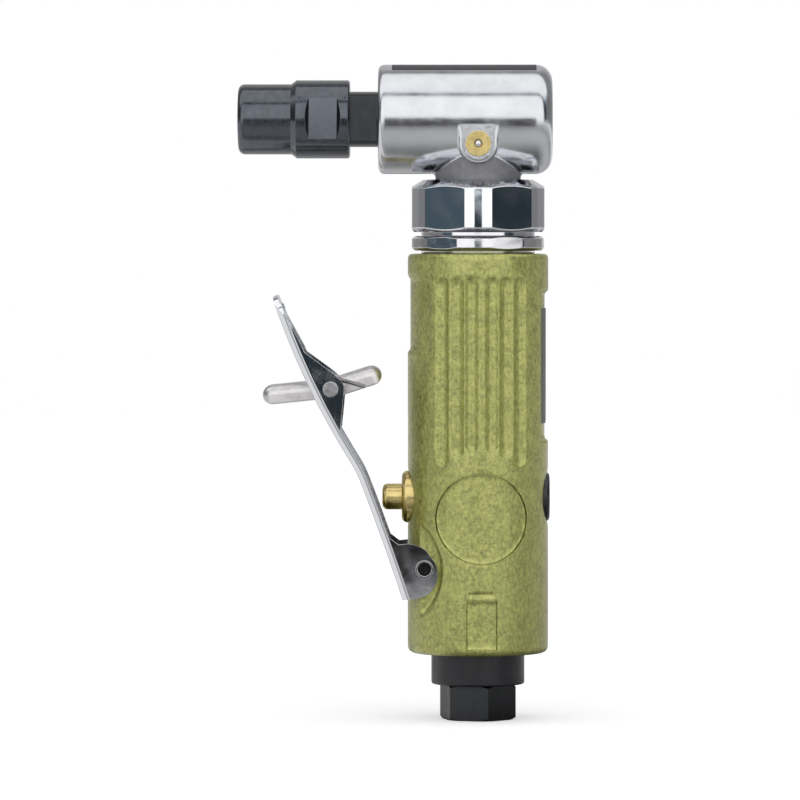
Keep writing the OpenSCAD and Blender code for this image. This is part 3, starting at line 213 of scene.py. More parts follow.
def hammered_enamel(board, colour):
    """Olive enamel with metal flake, laid over a rough casting."""
    coarse = board.noise(3.4, 3.0, 0.6)
    fleck = board.noise(0.8, 3.0, 0.62, board.stretched((1, 1, 0.62)))
    fine = board.noise(0.42, 2.0, 0.6)
    dimples = board.cells(1.1)
    tone = (coarse - 0.5) * 0.8 + (fleck - 0.5) * 1.5 + (fine - 0.5) * 0.9 + 0.5
    base = board.mix(board.between(tone, 0.12, 0.88), shade(colour, 0.76), shade(colour, 1.34))
    worn = board.between(board.noise(3.4, 4.0, 0.75), 0.70, 0.76)
    base = board.mix(worn * 0.3, base, (0.20, 0.19, 0.16, 1))
    height = dimples * 0.5 + fleck * 0.8 + coarse * 0.4
    return {
        "Base Color": base,
        "Metallic": 0.55,
        "Roughness": board.between(fleck, 0.3, 0.7, 0.27, 0.40),
        "Coat Weight": 0.4,
        "Coat Roughness": 0.22,
        "Normal": board.bump(height, 0.2, 0.7),
    }


def satin_aluminium(board, colour):
    """Aluminium that was turned and then rumbled to a soft polish."""
    clouds = board.noise(6.0, 3.0, 0.55)
    drawn = board.noise(0.35, 2.0, 0.6, board.stretched((0.12, 1, 1)))
    fine = board.noise(0.12, 1.0, 0.5)
    base = board.mix(board.between(clouds, 0.3, 0.7), shade(colour, 0.93), shade(colour, 1.04))
    return {
        "Base Color": base,
        "Metallic": 1.0,
        "Roughness": board.between(clouds * 0.6 + drawn * 0.4, 0.3, 0.7, 0.15, 0.22),
        "Normal": board.bump(clouds * 2.0 + drawn * 0.12 + fine * 0.03, 0.08, 0.3),
    }


def chrome(board, colour):
    """Bright plating that keeps the waves of the sheet or bar under it."""
    waves = board.noise(5.0, 2.0, 0.5)
    specks = board.between(board.noise(0.5, 3.0, 0.7), 0.66, 0.74)
    return {
        "Base Color": board.mix(specks * 0.25, paint(colour), (0.30, 0.30, 0.32, 1)),
        "Metallic": 1.0,
        "Roughness": board.between(waves, 0.3, 0.7, 0.045, 0.10),
        "Normal": board.bump(waves, 0.05, 0.2),
    }


def turned_metal(axis, centre, groove=0.18, rough=(0.2, 0.34), depth=0.012, mottle=0.12):
    """A finish for a piece that was turned about the given axis."""

    def build(board, colour):
        rings = board.noise(groove, 2.0, 0.65, board.turned(axis, centre))
        clouds = board.noise(2.4, 3.0, 0.6)
        base = board.mix(
            board.between(clouds, 0.3, 0.7), shade(colour, 1 - mottle), shade(colour, 1 + mottle)
        )
        return {
            "Base Color": base,
            "Metallic": 1.0,
            "Roughness": board.between(rings * 0.5 + clouds * 0.5, 0.35, 0.65, *rough),
            "Normal": board.bump(rings, depth, 0.8),
        }

    return build


def black_oxide(axis, centre, gloss=0.17, mottle=0.2):
    """Blackened steel: blue-black, with a lathe's marks and a trace of oil."""

    def build(board, colour):
        rings = board.noise(0.2, 2.0, 0.6, board.turned(axis, centre))
        clouds = board.noise(1.8, 4.0, 0.65)
        base = board.mix(
            board.between(clouds, 0.3, 0.7), shade(colour, 1 - mottle), shade(colour, 1 + mottle)
        )
        return {
            "Base Color": base,
            "Metallic": 1.0,
            "Roughness": board.between(rings * 0.4 + clouds * 0.6, 0.35, 0.65, gloss, gloss + 0.12),
            "Coat Weight": 0.35,
            "Coat Roughness": gloss * 0.7,
            "Normal": board.bump(rings + clouds * 0.5, 0.014, 0.8),
        }

    return build


def brushed_steel(board, colour):
    """Sheet steel brushed along its length and left bare."""
    lines = board.noise(0.16, 2.0, 0.7, board.stretched((0.06, 1, 1)))
    clouds = board.noise(3.0, 3.0, 0.6)
    base = board.mix(board.between(clouds, 0.3, 0.7), shade(colour, 0.88), shade(colour, 1.08))
    return {
        "Base Color": base,
        "Metallic": 1.0,
        "Roughness": board.between(lines * 0.5 + clouds * 0.5, 0.3, 0.7, 0.26, 0.42),
        "Normal": board.bump(lines, 0.012, 0.8),
    }


def moulded(board, colour):
    """Moulded plastic or rubber with a fine spark-eroded grain."""
    grain = board.noise(0.28, 3.0, 0.6)
    clouds = board.noise(4.0, 2.0, 0.5)
    base = board.mix(board.between(clouds, 0.3, 0.7), shade(colour, 0.85), shade(colour, 1.25))
    return {
        "Base Color": base,
        "Roughness": board.between(grain, 0.3, 0.7, 0.22, 0.34),
        "Normal": board.bump(grain, 0.015, 0.6),
    }


def matt_plate(board, colour):
    """A thin anodised plate, bare of any print."""
    grain = board.noise(0.14, 2.0, 0.6, board.stretched((0.3, 1, 1)))
    clouds = board.noise(3.5, 3.0, 0.6)
    base = board.mix(board.between(clouds, 0.3, 0.7), shade(colour, 0.85), shade(colour, 1.2))
    return {
        "Base Color": base,
        "Metallic": 0.4,
        "Roughness": board.between(clouds, 0.3, 0.7, 0.38, 0.52),
        "Normal": board.bump(grain, 0.01, 0.6),
    }


def machined_iron(board, colour):
    """Grey iron or steel inside the tool, milled and lightly oiled."""
    marks = board.noise(0.3, 2.0, 0.6)
    clouds = board.noise(2.0, 3.0, 0.6)
    base = board.mix(board.between(clouds, 0.3, 0.7), shade(colour, 0.8), shade(colour, 1.2))
    return {
        "Base Color": base,
        "Metallic": 0.9,
        "Roughness": board.between(marks, 0.3, 0.7, 0.3, 0.46),
        "Normal": board.bump(marks, 0.01, 0.7),
    }


def rough_casting(board, colour):
    """Die-cast aluminium left as it came from the mould."""
    clouds = board.noise(1.7, 4.0, 0.65)
    grain = board.noise(0.4, 3.0, 0.65)
    tone = clouds * 0.7 + grain * 0.3
    return {
        "Base Color": board.mix(
            board.between(tone, 0.3, 0.7), shade(colour, 0.82), shade(colour, 1.22)
        ),
        "Metallic": 0.55,
        "Roughness": board.between(clouds, 0.3, 0.7, 0.46, 0.62),
        "Normal": board.bump(tone, 0.08, 0.8),
    }


def fibrous(board, colour):
    """Pressed felt, fibre or resin with strands in all directions."""
    strands = board.noise(0.25, 4.0, 0.75)
    patches = board.noise(1.6, 2.0, 0.6)
    tone = strands * 0.6 + patches * 0.4
    return {
        "Base Color": board.mix(
            board.between(tone, 0.3, 0.7), shade(colour, 0.7), shade(colour, 1.15)
        ),
        "Roughness": board.between(strands, 0.2, 0.8, 0.75, 0.95),
        "Normal": board.bump(strands, 0.12, 0.9),
    }


AXIS_CENTRE = (0, 0, AXIS_Z)
VALVE_CENTRE = ((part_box("valve_stem")[0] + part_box("valve_stem")[1]) / 2)[:]
FITTING_CENTRE = ((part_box("grease_fitting")[0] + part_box("grease_fitting")[1]) / 2)[:]


def make_finish(name, build, colour):
    """A material with the given build of its surface, in place of the frame's plain one."""
    material = bpy.data.materials.get(name) or bpy.data.materials.new(name)
    material.use_nodes = True
    board = Board(material.node_tree)
    shader = board.node("ShaderNodeBsdfPrincipled", {}, build(board, colour))
    board.node("ShaderNodeOutputMaterial", {}, {"Surface": shader})
    return material


# ---------------------------------------------------------------- workshop
def pick(*objects):
    """Only these are selected, and the first is the active one."""
    if bpy.context.object and bpy.context.object.mode != "OBJECT":
        bpy.ops.object.mode_set(mode="OBJECT")
    bpy.ops.object.select_all(action="DESELECT")
    for piece in objects:
        piece.hide_viewport = False
        piece.select_set(True)
    bpy.context.view_layer.objects.active = objects[0]


def blank(node, name):
    """A copy of a solid with its triangles joined into whole faces, to be worked further."""
    piece = bpy.data.objects.new(name, frame["nodes"][node].data.copy())
    bpy.context.scene.collection.objects.link(piece)
    piece.data.materials.clear()
    pick(piece)
    if piece.data.has_custom_normals:
        bpy.ops.mesh.customdata_custom_splitnormals_clear()
    bpy.ops.object.mode_set(mode="EDIT")
    bpy.ops.mesh.select_all(action="SELECT")
    bpy.ops.mesh.remove_doubles(threshold=2e-6)
    bpy.ops.mesh.dissolve_limited(angle_limit=math.radians(0.6))
    bpy.ops.object.mode_set(mode="OBJECT")
    return piece


def work(piece, kind, **settings):
    """Adds a modifier and applies it."""
    pick(piece)
    tool = piece.modifiers.new(kind.title(), kind)
    for key, value in settings.items():
        setattr(tool, key, value)
    bpy.ops.object.modifier_apply(modifier=tool.name)


def rounded(piece, width, segments=2, angle=38):
    """Breaks the sharp edges of a piece."""
    work(
        piece, "BEVEL", width=width * MM, segments=segments, limit_method="ANGLE",
        angle_limit=math.radians(angle), use_clamp_overlap=True, miter_outer="MITER_ARC",
    )


def smooth(piece, angle=None):
    """Smooth shading, in which the large faces stay flat."""
    pick(piece)
    if angle is None:
        bpy.ops.object.shade_smooth()
    else:
        bpy.ops.object.shade_smooth_by_angle(angle=math.radians(angle))
    work(piece, "WEIGHTED_NORMAL", keep_sharp=True, weight=80)


def settle(piece, body, node, slot, *others):
    """The piece stands for its node, rides on its body and takes the finish of its slot."""
    piece.data.materials.clear()
    piece.data.materials.append(bpy.data.materials[slot])
    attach(piece, body)
    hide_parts(node, *others)


def rod(name, radius, low, high, axis="Z", sides=128):
    """A closed cylinder between two points of its axis, as a tool for cutting or filling."""
    low, high = Vector(low), Vector(high)
    turn = {"Z": (0, 0, 0), "X": (0, math.pi / 2, 0), "Y": (math.pi / 2, 0, 0)}[axis]
    bpy.ops.object.select_all(action="DESELECT")
    bpy.ops.mesh.primitive_cylinder_add(
        vertices=sides, radius=radius * MM, depth=(high - low).length * MM,
        location=(low + high) / 2 * MM, rotation=turn,
    )
    made = bpy.context.object
    made.name = name
    bpy.ops.object.transform_apply(location=True, rotation=True, scale=True)
    return made


def block(name, low, high):
    """A closed box between two corners, as a tool."""
    low, high = Vector(low), Vector(high)
    bpy.ops.object.select_all(action="DESELECT")
    bpy.ops.mesh.primitive_cube_add(size=1, location=(low + high) / 2 * MM)
    made = bpy.context.object
    made.name = name
    made.scale = (high - low) * MM
    bpy.ops.object.transform_apply(location=True, rotation=True, scale=True)
    return made


def joined(piece, *others):
    pick(piece, *others)
    bpy.ops.object.join()


def cut(piece, *tools):
    """Cuts each tool's space out of the piece, and throws the tool away."""
    for tool in tools:
        work(piece, "BOOLEAN", operation="DIFFERENCE", solver="EXACT", object=tool)
        bpy.data.objects.remove(tool)


def faced(tool):
    """The tool at the front and at the back of the handle, turned as its cast pattern is."""
    other = tool.copy()
    other.data = tool.data.copy()
    bpy.context.scene.collection.objects.link(other)
    tool.data.transform(Matrix.Rotation(math.radians(PATTERN_TURN), 4, "Z"))
    other.data.transform(Matrix.Rotation(math.radians(PATTERN_TURN + 180), 4, "Z"))
    return tool, other


def kept(piece, tool):
    """Keeps only what lies inside the tool, and throws the tool away."""
    work(piece, "BOOLEAN", operation="INTERSECT", solver="EXACT", object=tool)
    bpy.data.objects.remove(tool)


def trued(piece, radius, axis, centre, slack, keep):
    """Points close to a turned wall are set exactly on it."""
    a, b = [i for i in range(3) if i != axis]
    for point in piece.data.vertices:
        u, v = point.co[a] - centre[a], point.co[b] - centre[b]
        far = math.hypot(u, v)
        if abs(far - radius * MM) < slack * MM and keep(point.co / MM):
            point.co[a] = centre[a] + u * radius * MM / far
            point.co[b] = centre[b] + v * radius * MM / far
    piece.data.update()


def group(piece, name, share):
    """A vertex group whose weights come from a point's place in millimetres."""
    made = piece.vertex_groups.new(name=name)
    for point in piece.data.vertices:
        weight = share(point.co / MM)
        if weight > 0:
            made.add([point.index], min(1.0, weight), "REPLACE")
    return made.name


def wire(name, points, width, sides=5):
    """A round wire along a list of points in metres, with closed ends."""
    line = bpy.data.curves.new(name, "CURVE")
    line.dimensions = "3D"
    line.bevel_depth = width / 2 * MM
    line.bevel_resolution = sides
    line.use_fill_caps = True
    spline = line.splines.new("POLY")
    spline.points.add(len(points) - 1)
    for spot, point in zip(spline.points, points):
        spot.co = (*point, 1)
    made = bpy.data.objects.new(name, line)
    bpy.context.scene.collection.objects.link(made)
    pick(made)
    bpy.ops.object.convert(target="MESH")
    return bpy.context.object


def lever_path():
    """The lever's outer face from tip to foot: lean, place from the hinge, and inset."""

    def toward(lean):
        return Vector((math.cos(math.radians(lean)), math.sin(math.radians(lean))))

    def run(centre, radius, first, last, count):
        leans = [first + (last - first) * i / count for i in range(count + 1)]
        return [(lean, centre + radius * toward(lean)) for lean in leans]

    lower = Vector((-5.45, -7.8)) - 600 * toward(18.2)
    knee = lower + 575 * toward(21.2)
    upper = knee + 215 * toward(32.3)
    path = run(upper, -190, 18.4, 23.2, 3) + run(upper, -190, 23.2, 29.7, 3)[1:]
    path += run(upper, -190, 29.7, 32.3, 2)[1:] + run(knee, 25, 32.3, 21.2, 4)[1:]
    path += run(lower, 600, 21.2, 19.7, 5)[1:] + run(lower, 600, 19.7, 18.2, 4)[1:]
    lean, tip = path[0]
    up = toward(lean + 90)
    rounding = ((4, 0.8), (0, 0.7), (-0.12, 0.38), (-0.35, 0.14), (-0.8, 0))
    last = path[-1]
    return (
        [(lean, tip + s * up, inset) for s, inset in rounding]
        + [(a, spot, 0) for a, spot in path[1:]]
        + [(last[0], last[1] + 4 * toward(last[0] - 90), 0)]
    )


def folded_space(name, half, bend):
    """The room of a folded sheet behind the lever's outer face, with round folds at its sides."""
    corner = [math.radians(90 * i / 8) for i in range(9)]
    side = [(bend - bend * math.sin(a), half - bend + bend * math.cos(a)) for a in corner]
    outline = [(22, half)] + side + [(u, -v) for u, v in reversed(side)] + [(22, -half)]
    shape = bmesh.new()
    rings = []
    for lean, spot, inset in lever_path():
        c, n = math.cos(math.radians(lean)), math.sin(math.radians(lean))
        rings.append([
            shape.verts.new((
                HINGE.x + (spot.x + (u + inset - 0.01) * c) * MM, v * MM,
                HINGE.z + (spot.y + (u + inset - 0.01) * n) * MM,
            ))
            for u, v in outline
        ])
    for one, two in zip(rings, rings[1:]):
        for i in range(len(outline)):
            j = (i + 1) % len(outline)
            shape.faces.new((one[i], one[j], two[j], two[i]))
    shape.faces.new(rings[0])
    shape.faces.new(reversed(rings[-1]))
    bmesh.ops.recalc_face_normals(shape, faces=shape.faces)
    made = bpy.data.objects.new(name, bpy.data.meshes.new(name))
    shape.to_mesh(made.data)
    shape.free()
    bpy.context.scene.collection.objects.link(made)
    return made


# ---------------------------------------------------------------- settings
def length(name, text, default, low, high):
    return FloatProperty(name=name, description=text, default=default, min=low, max=high)


def colour(name, text, default):
    return FloatVectorProperty(
        name=name, description=text, subtype="COLOR", size=3, min=0.0, max=1.0, default=default
    )


class GrinderShapes(bpy.types.PropertyGroup):
    bend: length("Bend radius", "Outer radius of the throttle lever's folds, in mm", 2.0, 1.2, 2.4)
    sheet_edge: length("Sheet edge", "Rounding of the sheet's cut edges, in mm", 0.3, 0.05, 0.4)
    cast_grid: length("Casting grid", "Fineness of the cast surfaces, in mm", 0.43, 0.4, 1.0)
    cast_soft: IntProperty(
        name="Casting softness", description="How far the casting's edges are worn down",
        default=3, min=1, max=8,
    )
    fillet: IntProperty(
        name="Neck fillet", description="How far the fillet between head and neck is drawn out",
        default=3, min=1, max=60,
    )
    wire_sides: IntProperty(
        name="Wire sides", description="Roundness of the springs' wire", default=4, min=1, max=8
    )


class GrinderColours(bpy.types.PropertyGroup):
    olive_enamel: colour("Olive enamel", "Enamel of the handle", (0.425, 0.435, 0.135))
    polished_aluminium: colour("Aluminium", "Angle head", (0.67, 0.68, 0.705))
    chrome_plate: colour("Chrome", "Clamp nut and throttle lever", (0.80, 0.81, 0.84))
    zinc_plate: colour("Zinc plate", "Lock ring, sleeve and pins", (0.74, 0.74, 0.76))
    black_oxide: colour("Black oxide", "Collet nut, spindle and inlet", (0.050, 0.053, 0.058))
    brass: colour("Brass", "Throttle button and bushing", (0.70, 0.56, 0.24))
    black_plastic: colour("Black plastic", "Knob and deflector", (0.017, 0.018, 0.022))


# ---------------------------------------------------------------- operators
class GRINDER_OT_finishes(bpy.types.Operator):
    """Makes one finish for each of the record's material slots and gives it to the solids"""

    bl_idname = "grinder.finishes"
    bl_label = "Finishes"

    def execute(self, context):
        own = context.scene.grinder_colours
        steel = (0.62, 0.62, 0.64)
        builds = {
            "olive_enamel": (hammered_enamel, own.olive_enamel),
            "polished_aluminium": (satin_aluminium, own.polished_aluminium),
            "chrome_plate": (chrome, own.chrome_plate),
            "zinc_plate": (
                turned_metal(2, (0, 0, 0), 0.25, (0.07, 0.15), 0.006, 0.04), own.zinc_plate
            ),
            "black_oxide": (black_oxide(0, AXIS_CENTRE, 0.13, 0.14), own.black_oxide),
            "bare_plate": (matt_plate, (0.055, 0.057, 0.062)),
            "brass": (turned_metal(0, VALVE_CENTRE, 0.2, (0.18, 0.28), 0.010, 0.12), own.brass),
            "black_plastic": (moulded, own.black_plastic),
            "bright_steel": (brushed_steel, (0.70, 0.68, 0.68)),
            "bearing_steel": (
                turned_metal(2, (0, 0, 0), 0.3, (0.08, 0.18), 0.004, 0.04), (0.72, 0.72, 0.75)
            ),
            "spring_steel": (machined_iron, (0.30, 0.29, 0.29)),
            "cast_grey": (machined_iron, (0.33, 0.33, 0.34)),
            "seal_rubber": (moulded, (0.02, 0.02, 0.02)),
            "felt": (fibrous, (0.50, 0.44, 0.33)),
            "vane_resin": (fibrous, (0.30, 0.17, 0.09)),
            "gasket_fibre": (fibrous, (0.38, 0.28, 0.16)),
        }
        for name, (build, tint) in builds.items():
            make_finish(name, build, tuple(tint))
        inlet = make_finish(
            "black_oxide_upright", black_oxide(2, (0, 0, 0), 0.34, 0.08), (0.052, 0.054, 0.058)
        )
        fitting = make_finish(
            "brass_fitting", turned_metal(1, FITTING_CENTRE, 0.2), tuple(own.brass)
        )
        side = make_finish("bare_side_plate", matt_plate, (0.155, 0.160, 0.125))
        make_finish("cast_neck", rough_casting, (0.27, 0.27, 0.285))
        # Dark rough casting for the hinge pin's drilled bores: painted shade in the deep holes
        make_finish("painted_shade_bore", rough_casting, (0.035, 0.035, 0.035))
        oiled = black_oxide(0, AXIS_CENTRE, 0.13, 0.14)
        make_finish("oiled_oxide", oiled, (0.098, 0.107, 0.125))
        # Lighter, bluer copy of the oxide for the collet nut's wrench flats: painted reflection of
        # the front light
        make_finish("flat_painted_reflection", black_oxide(0, AXIS_CENTRE, 0.24, 0.08), (0.135, 0.15, 0.175))
        pins = turned_metal(1, SAFETY_PIVOT[:], 0.2, (0.2, 0.3))
        make_finish("pin_steel", pins, (0.42, 0.42, 0.43))
        special = {"inlet_bushing": inlet, "grease_fitting": fitting, "side_plate": side}
        slots = {row["node"]: row["material_slot"] for row in frame["record"]["subparts"]}
        for node, solid in frame["nodes"].items():
            solid.data.materials.clear()
            solid.data.materials.append(special.get(node) or bpy.data.materials[slots[node]])
        return {"FINISHED"}


class GRINDER_OT_handle(bpy.types.Operator):
    """Works the handle into a casting with soft edges and a clean motor bore"""

    bl_idname = "grinder.handle"
    bl_label = "Cast handle"

    def execute(self, context):
        shapes = context.scene.grinder_shapes
        handle = blank("housing", "cast_handle")
        low, high = HANDLE_LOW / MM, HANDLE_HIGH / MM
        radius = high.y
        motor_z, thread_z = low.z + 48.9, high.z - 5.4
        bar = block("bar", (-4.6, radius - 0.5, low.z + 14.8), (4.6, radius + 2, low.z + 16.0))
        cut(handle, *faced(bar))
        medallion_z = low.z + MEDALLION_UP
        joined(handle, rod("core", 14.3, (0, 0, motor_z - 1), (0, 0, high.z - 0.02)))
        grid = shapes.cast_grid * MM
        work(handle, "REMESH", mode="VOXEL", voxel_size=grid, use_smooth_shade=True)
        trued(
            handle, radius, 2, (0, 0, 0), 0.14,
            lambda p: low.z + 1.6 < p.z < high.z - 1.1,
        )
        work(handle, "SMOOTH", factor=0.5, iterations=shapes.cast_soft)
        cut(
            handle,
            rod("bore", MOTOR_BORE, (0, 0, motor_z), (0, 0, high.z + 1)),
            rod("thread", 14.0, (0, 0, thread_z), (0, 0, high.z + 1)),
        )
        ring_out, ring_in, groove_depth = 11.4, 11.0, 0.62
        ring = rod("ring", ring_out, (0, 12, medallion_z), (0, 19, medallion_z), "Y")
        frame_line = block("frame_line", (-3.85, 12, low.z + 1.5), (3.85, 19, low.z + 13.9))
        cut(ring, rod("inside", ring_in, (0, 11, medallion_z), (0, 20, medallion_z), "Y"))
        cut(frame_line, block("inside", (-3.5, 11, low.z + 1.85), (3.5, 20, low.z + 13.55)))
        joined(ring, frame_line)
        cut(ring, rod("core", radius - groove_depth, (0, 0, low.z - 1), (0, 0, high.z + 1)))
        cut(handle, *faced(ring))
        pick(handle)
        bpy.ops.object.shade_smooth_by_angle(angle=math.radians(50))
        settle(handle, "handle", "housing", "olive_enamel")
        return {"FINISHED"}


class GRINDER_OT_head(bpy.types.Operator):
    """Works the angle head from one casting: barrel, neck with its fillet and grease boss"""

    bl_idname = "grinder.head"
    bl_label = "Angle head"

    def execute(self, context):
        shapes = context.scene.grinder_shapes
        head = blank("angle_head", "turned_head")
        low, high = HEAD_LOW / MM, HEAD_HIGH / MM
        z = AXIS_Z / MM
        barrel = high.y
        boss_z = z - BOSS_DROP
        boss_flat, fillet_reach = 4.3, 1.3
        joined(
            head,
            rod("plug_front", 11.3, (low.x + 0.02, 0, z), (-9, 0, z), "X"),
            rod("plug_gear", 9.2, (-16, 0, z), (10, 0, z), "X"),
            rod("plug_tail", 5.3, (8, 0, z), (15.4, 0, z), "X"),
            rod("plug_neck", 7.8, (0, 0, low.z + 0.02), (0, 0, z)),
        )
        work(head, "REMESH", mode="VOXEL", voxel_size=0.31 * MM, use_smooth_shade=True)
        trued(
            head, barrel, 0, (0, 0, AXIS_Z), 0.10,
            lambda p: low.x + 1.6 < p.x < high.x - 4.3
            and not (abs(p.x) < 5.6 and p.y < 0 and boss_z - 5 < p.z < z - 0.9),
        )

        def near_neck(p):
            ring = math.hypot(p.x, p.y) - NECK_RADIUS
            wall = math.hypot(p.y, p.z - z) - barrel
            if p.z > z - 4 or abs(p.x) < 5.4 and p.y < 0 and p.z > boss_z - 5.4:
                return 0
            return 1 - max(abs(ring), abs(wall)) / fillet_reach

        work(
            head, "SMOOTH", factor=0.5, iterations=shapes.fillet,
            vertex_group=group(head, "fillet", near_neck),
        )
        head.vertex_groups.clear()
        work(head, "SMOOTH", factor=0.5, iterations=2)
        for point in head.data.vertices:
            p = point.co / MM
            on_boss = math.hypot(p.x, p.z - boss_z) < boss_flat
            over_boss = abs(p.x) < boss_flat and boss_z < p.z < z - 1.2
            if (on_boss or over_boss) and abs(p.y + BOSS_FACE) < 0.15:
                point.co.y = -BOSS_FACE * MM
        head.data.update()
        cut(
            head,
            rod("bearing_bore", 11, (low.x - 1, 0, z), (-11.5, 0, z), "X"),
            rod("gear_bore", 8.6, (-12, 0, z), (9.5, 0, z), "X"),
            rod("tail_bore", 5, (9, 0, z), (15.1, 0, z), "X"),
            rod("neck_bore", 7.5, (0, 0, low.z - 1), (0, 0, z - 6)),
            rod("grease_bore", 2.2, (0, -16, boss_z), (0, -6, boss_z), "Y", 48),
        )
        pick(head)
        bpy.ops.object.shade_smooth_by_angle(angle=math.radians(50))
        settle(head, "handle", "angle_head", "polished_aluminium")
        head.data.materials.append(bpy.data.materials["cast_neck"])
        for face in head.data.polygons:
            p = face.center / MM
            on_neck = math.hypot(p.x, p.y) < NECK_RADIUS + 0.5 and p.z < z - 4
            off_barrel = math.hypot(p.y, p.z - z) > barrel + 0.12
            off_boss = math.hypot(p.x, p.z - boss_z) > BOSS_RADIUS or p.z < boss_z - 4.4
            face.material_index = int(on_neck and off_barrel and off_boss)
        return {"FINISHED"}


class GRINDER_OT_lever(bpy.types.Operator):
    """Folds the throttle lever from sheet: round bends along its walls, broken edges all over"""

    bl_idname = "grinder.lever"
    bl_label = "Throttle lever"

    def execute(self, context):
        shapes = context.scene.grinder_shapes
        lever = blank("throttle_lever", "folded_lever")
        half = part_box("throttle_lever")[1].y / MM
        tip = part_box("throttle_lever")[1].z
        marks = bmesh.new()
        marks.from_mesh(lever.data)
        weight = marks.edges.layers.float.new("bevel_weight_edge")
        for edge in marks.edges:
            plain = len(edge.link_faces) == 2 and edge.calc_face_angle() > math.radians(42)
            if plain and max(v.co.z for v in edge.verts) < tip - 9 * MM:
                edge[weight] = 1.0
        marks.to_mesh(lever.data)
        marks.free()
        work(
            lever, "BEVEL", width=shapes.sheet_edge * MM, segments=2, limit_method="WEIGHT",
            use_clamp_overlap=True, miter_outer="MITER_ARC",
        )
        kept(lever, folded_space("folded_space", half + 0.01, shapes.bend))
        smooth(lever, 40)
        settle(lever, "throttle", "throttle_lever", "chrome_plate")
        return {"FINISHED"}


class GRINDER_OT_safety(bpy.types.Operator):
    """Presses the safety lever into a channel with round arms, and dresses the heads of its pin"""

    bl_idname = "grinder.safety"
    bl_label = "Safety lever"

    def execute(self, context):
        safety = blank("safety_lever", "pressed_safety_lever")
        x, z = SAFETY_PIVOT.x / MM, SAFETY_PIVOT.z / MM
        space = rod("pressed_space", 3.3, (x, -4.01, z), (x, 4.01, z), "Y", 64)
        for low_x, high_x, lean in ((-17.26, 2, 5.8), (-2, 13.06, 18.1)):
            arm = block("arm", (low_x, -4.01, -6), (high_x, 4.01, 2.46))
            rounded(arm, 2.6, 6, 30)
            turn = Matrix.Rotation(math.radians(-lean), 4, "Y")
            arm.data.transform(Matrix.Translation(SAFETY_PIVOT) @ turn)
            joined(space, arm)
        work(space, "REMESH", mode="VOXEL", voxel_size=0.16 * MM)
        work(space, "SMOOTH", factor=0.5, iterations=2)
        kept(safety, space)
        work(safety, "REMESH", mode="VOXEL", voxel_size=0.15 * MM, use_smooth_shade=True)
        work(safety, "SMOOTH", factor=0.5, iterations=3)
        settle(safety, "safety", "safety_lever", "bright_steel")

        pin = blank("safety_pin", "safety_pin_finished")
        low, high = PIN_LOW / MM, PIN_HIGH / MM
        rounded(pin, 0.15, 3)
        ring_out, ring_in = 1.66, 1.5
        for side, start, end in ((-1, low.y - 1, low.y + 0.2), (1, high.y - 0.2, high.y + 1)):
            groove = rod("groove", ring_out, (x, start, z), (x, end, z), "Y", 64)
            cut(groove, rod("inside", ring_in, (x, start - 1, z), (x, end + 1, z), "Y", 64))
            cut(pin, groove)
        smooth(pin, 35)
        settle(pin, "throttle", "safety_pin", "bright_steel")
        pin.data.materials[0] = bpy.data.materials["pin_steel"]
        return {"FINISHED"}


class GRINDER_OT_springs(bpy.types.Operator):
    """Winds the torsion spring of the safety lever and the spring of the throttle valve"""

    bl_idname = "grinder.springs"
    bl_label = "Springs"

    def execute(self, context):
        shapes = context.scene.grinder_shapes
        radius, pitch, turns, width = 2.85, 1.4, 3, 0.9
        web_leg, arm_leg = 296.0, -16.0
        start, stop = web_leg - 90, arm_leg + 90
        sweep = start - stop + 360 * turns
        rise = pitch * sweep / 360
        last_y = -4 - 0.25 - width / 2
        first_y = last_y - rise

        def spot(angle, out, y, reach=0.0, lean=0.0):
            a, b = math.radians(angle), math.radians(lean)
            x = out * math.cos(a) + reach * math.cos(b)
            z = out * math.sin(a) + reach * math.sin(b)
            return (SAFETY_PIVOT.x + x * MM, y * MM, SAFETY_PIVOT.z + z * MM)

        count = int(sweep / 7.5)
        web = [spot(start, radius, first_y, 5 * s, web_leg) for s in (1.0, 0.6, 0.3, 0.1)]
        turn = [
            spot(start - sweep * i / count, radius, first_y + rise * i / count)
            for i in range(count + 1)
        ]
        arm = [spot(stop, radius, last_y, 8 * s, arm_leg) for s in (0.1, 0.3, 0.6, 1.0)]
        # The leg on the safety lever turns with it, and takes the coil's last 120 degrees along
        parts = (
            ("torsion_spring", web + turn, width, "throttle"),
            ("torsion_spring_arm", turn[-16:] + arm, width + 0.02, "safety"),
        )
        for name, path, gauge, body in parts:
            torsion = wire(name, path, gauge, shapes.wire_sides)
            smooth(torsion, 60)
            settle(torsion, body, "safety_spring", "spring_steel")

        low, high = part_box("valve_spring")
        thick, coils = 0.6, 6
        mean = (high.y - low.y) / 2 - thick / 2 * MM
        start_x, end_x = low.x + thick / 2 * MM, high.x - thick / 2 * MM
        centre = (low.z + high.z) / 2
        steps = coils * 40
        path = []
        for i in range(steps + 1):
            share = i / steps
            a = math.tau * coils * share
            path.append((
                start_x + (end_x - start_x) * share, mean * math.cos(a), centre + mean * math.sin(a)
            ))
        coil = wire("valve_coil_spring", path, thick, shapes.wire_sides - 1)
        smooth(coil, 60)
        settle(coil, "handle", "valve_spring", "spring_steel")
        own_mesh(coil)
        return {"FINISHED"}


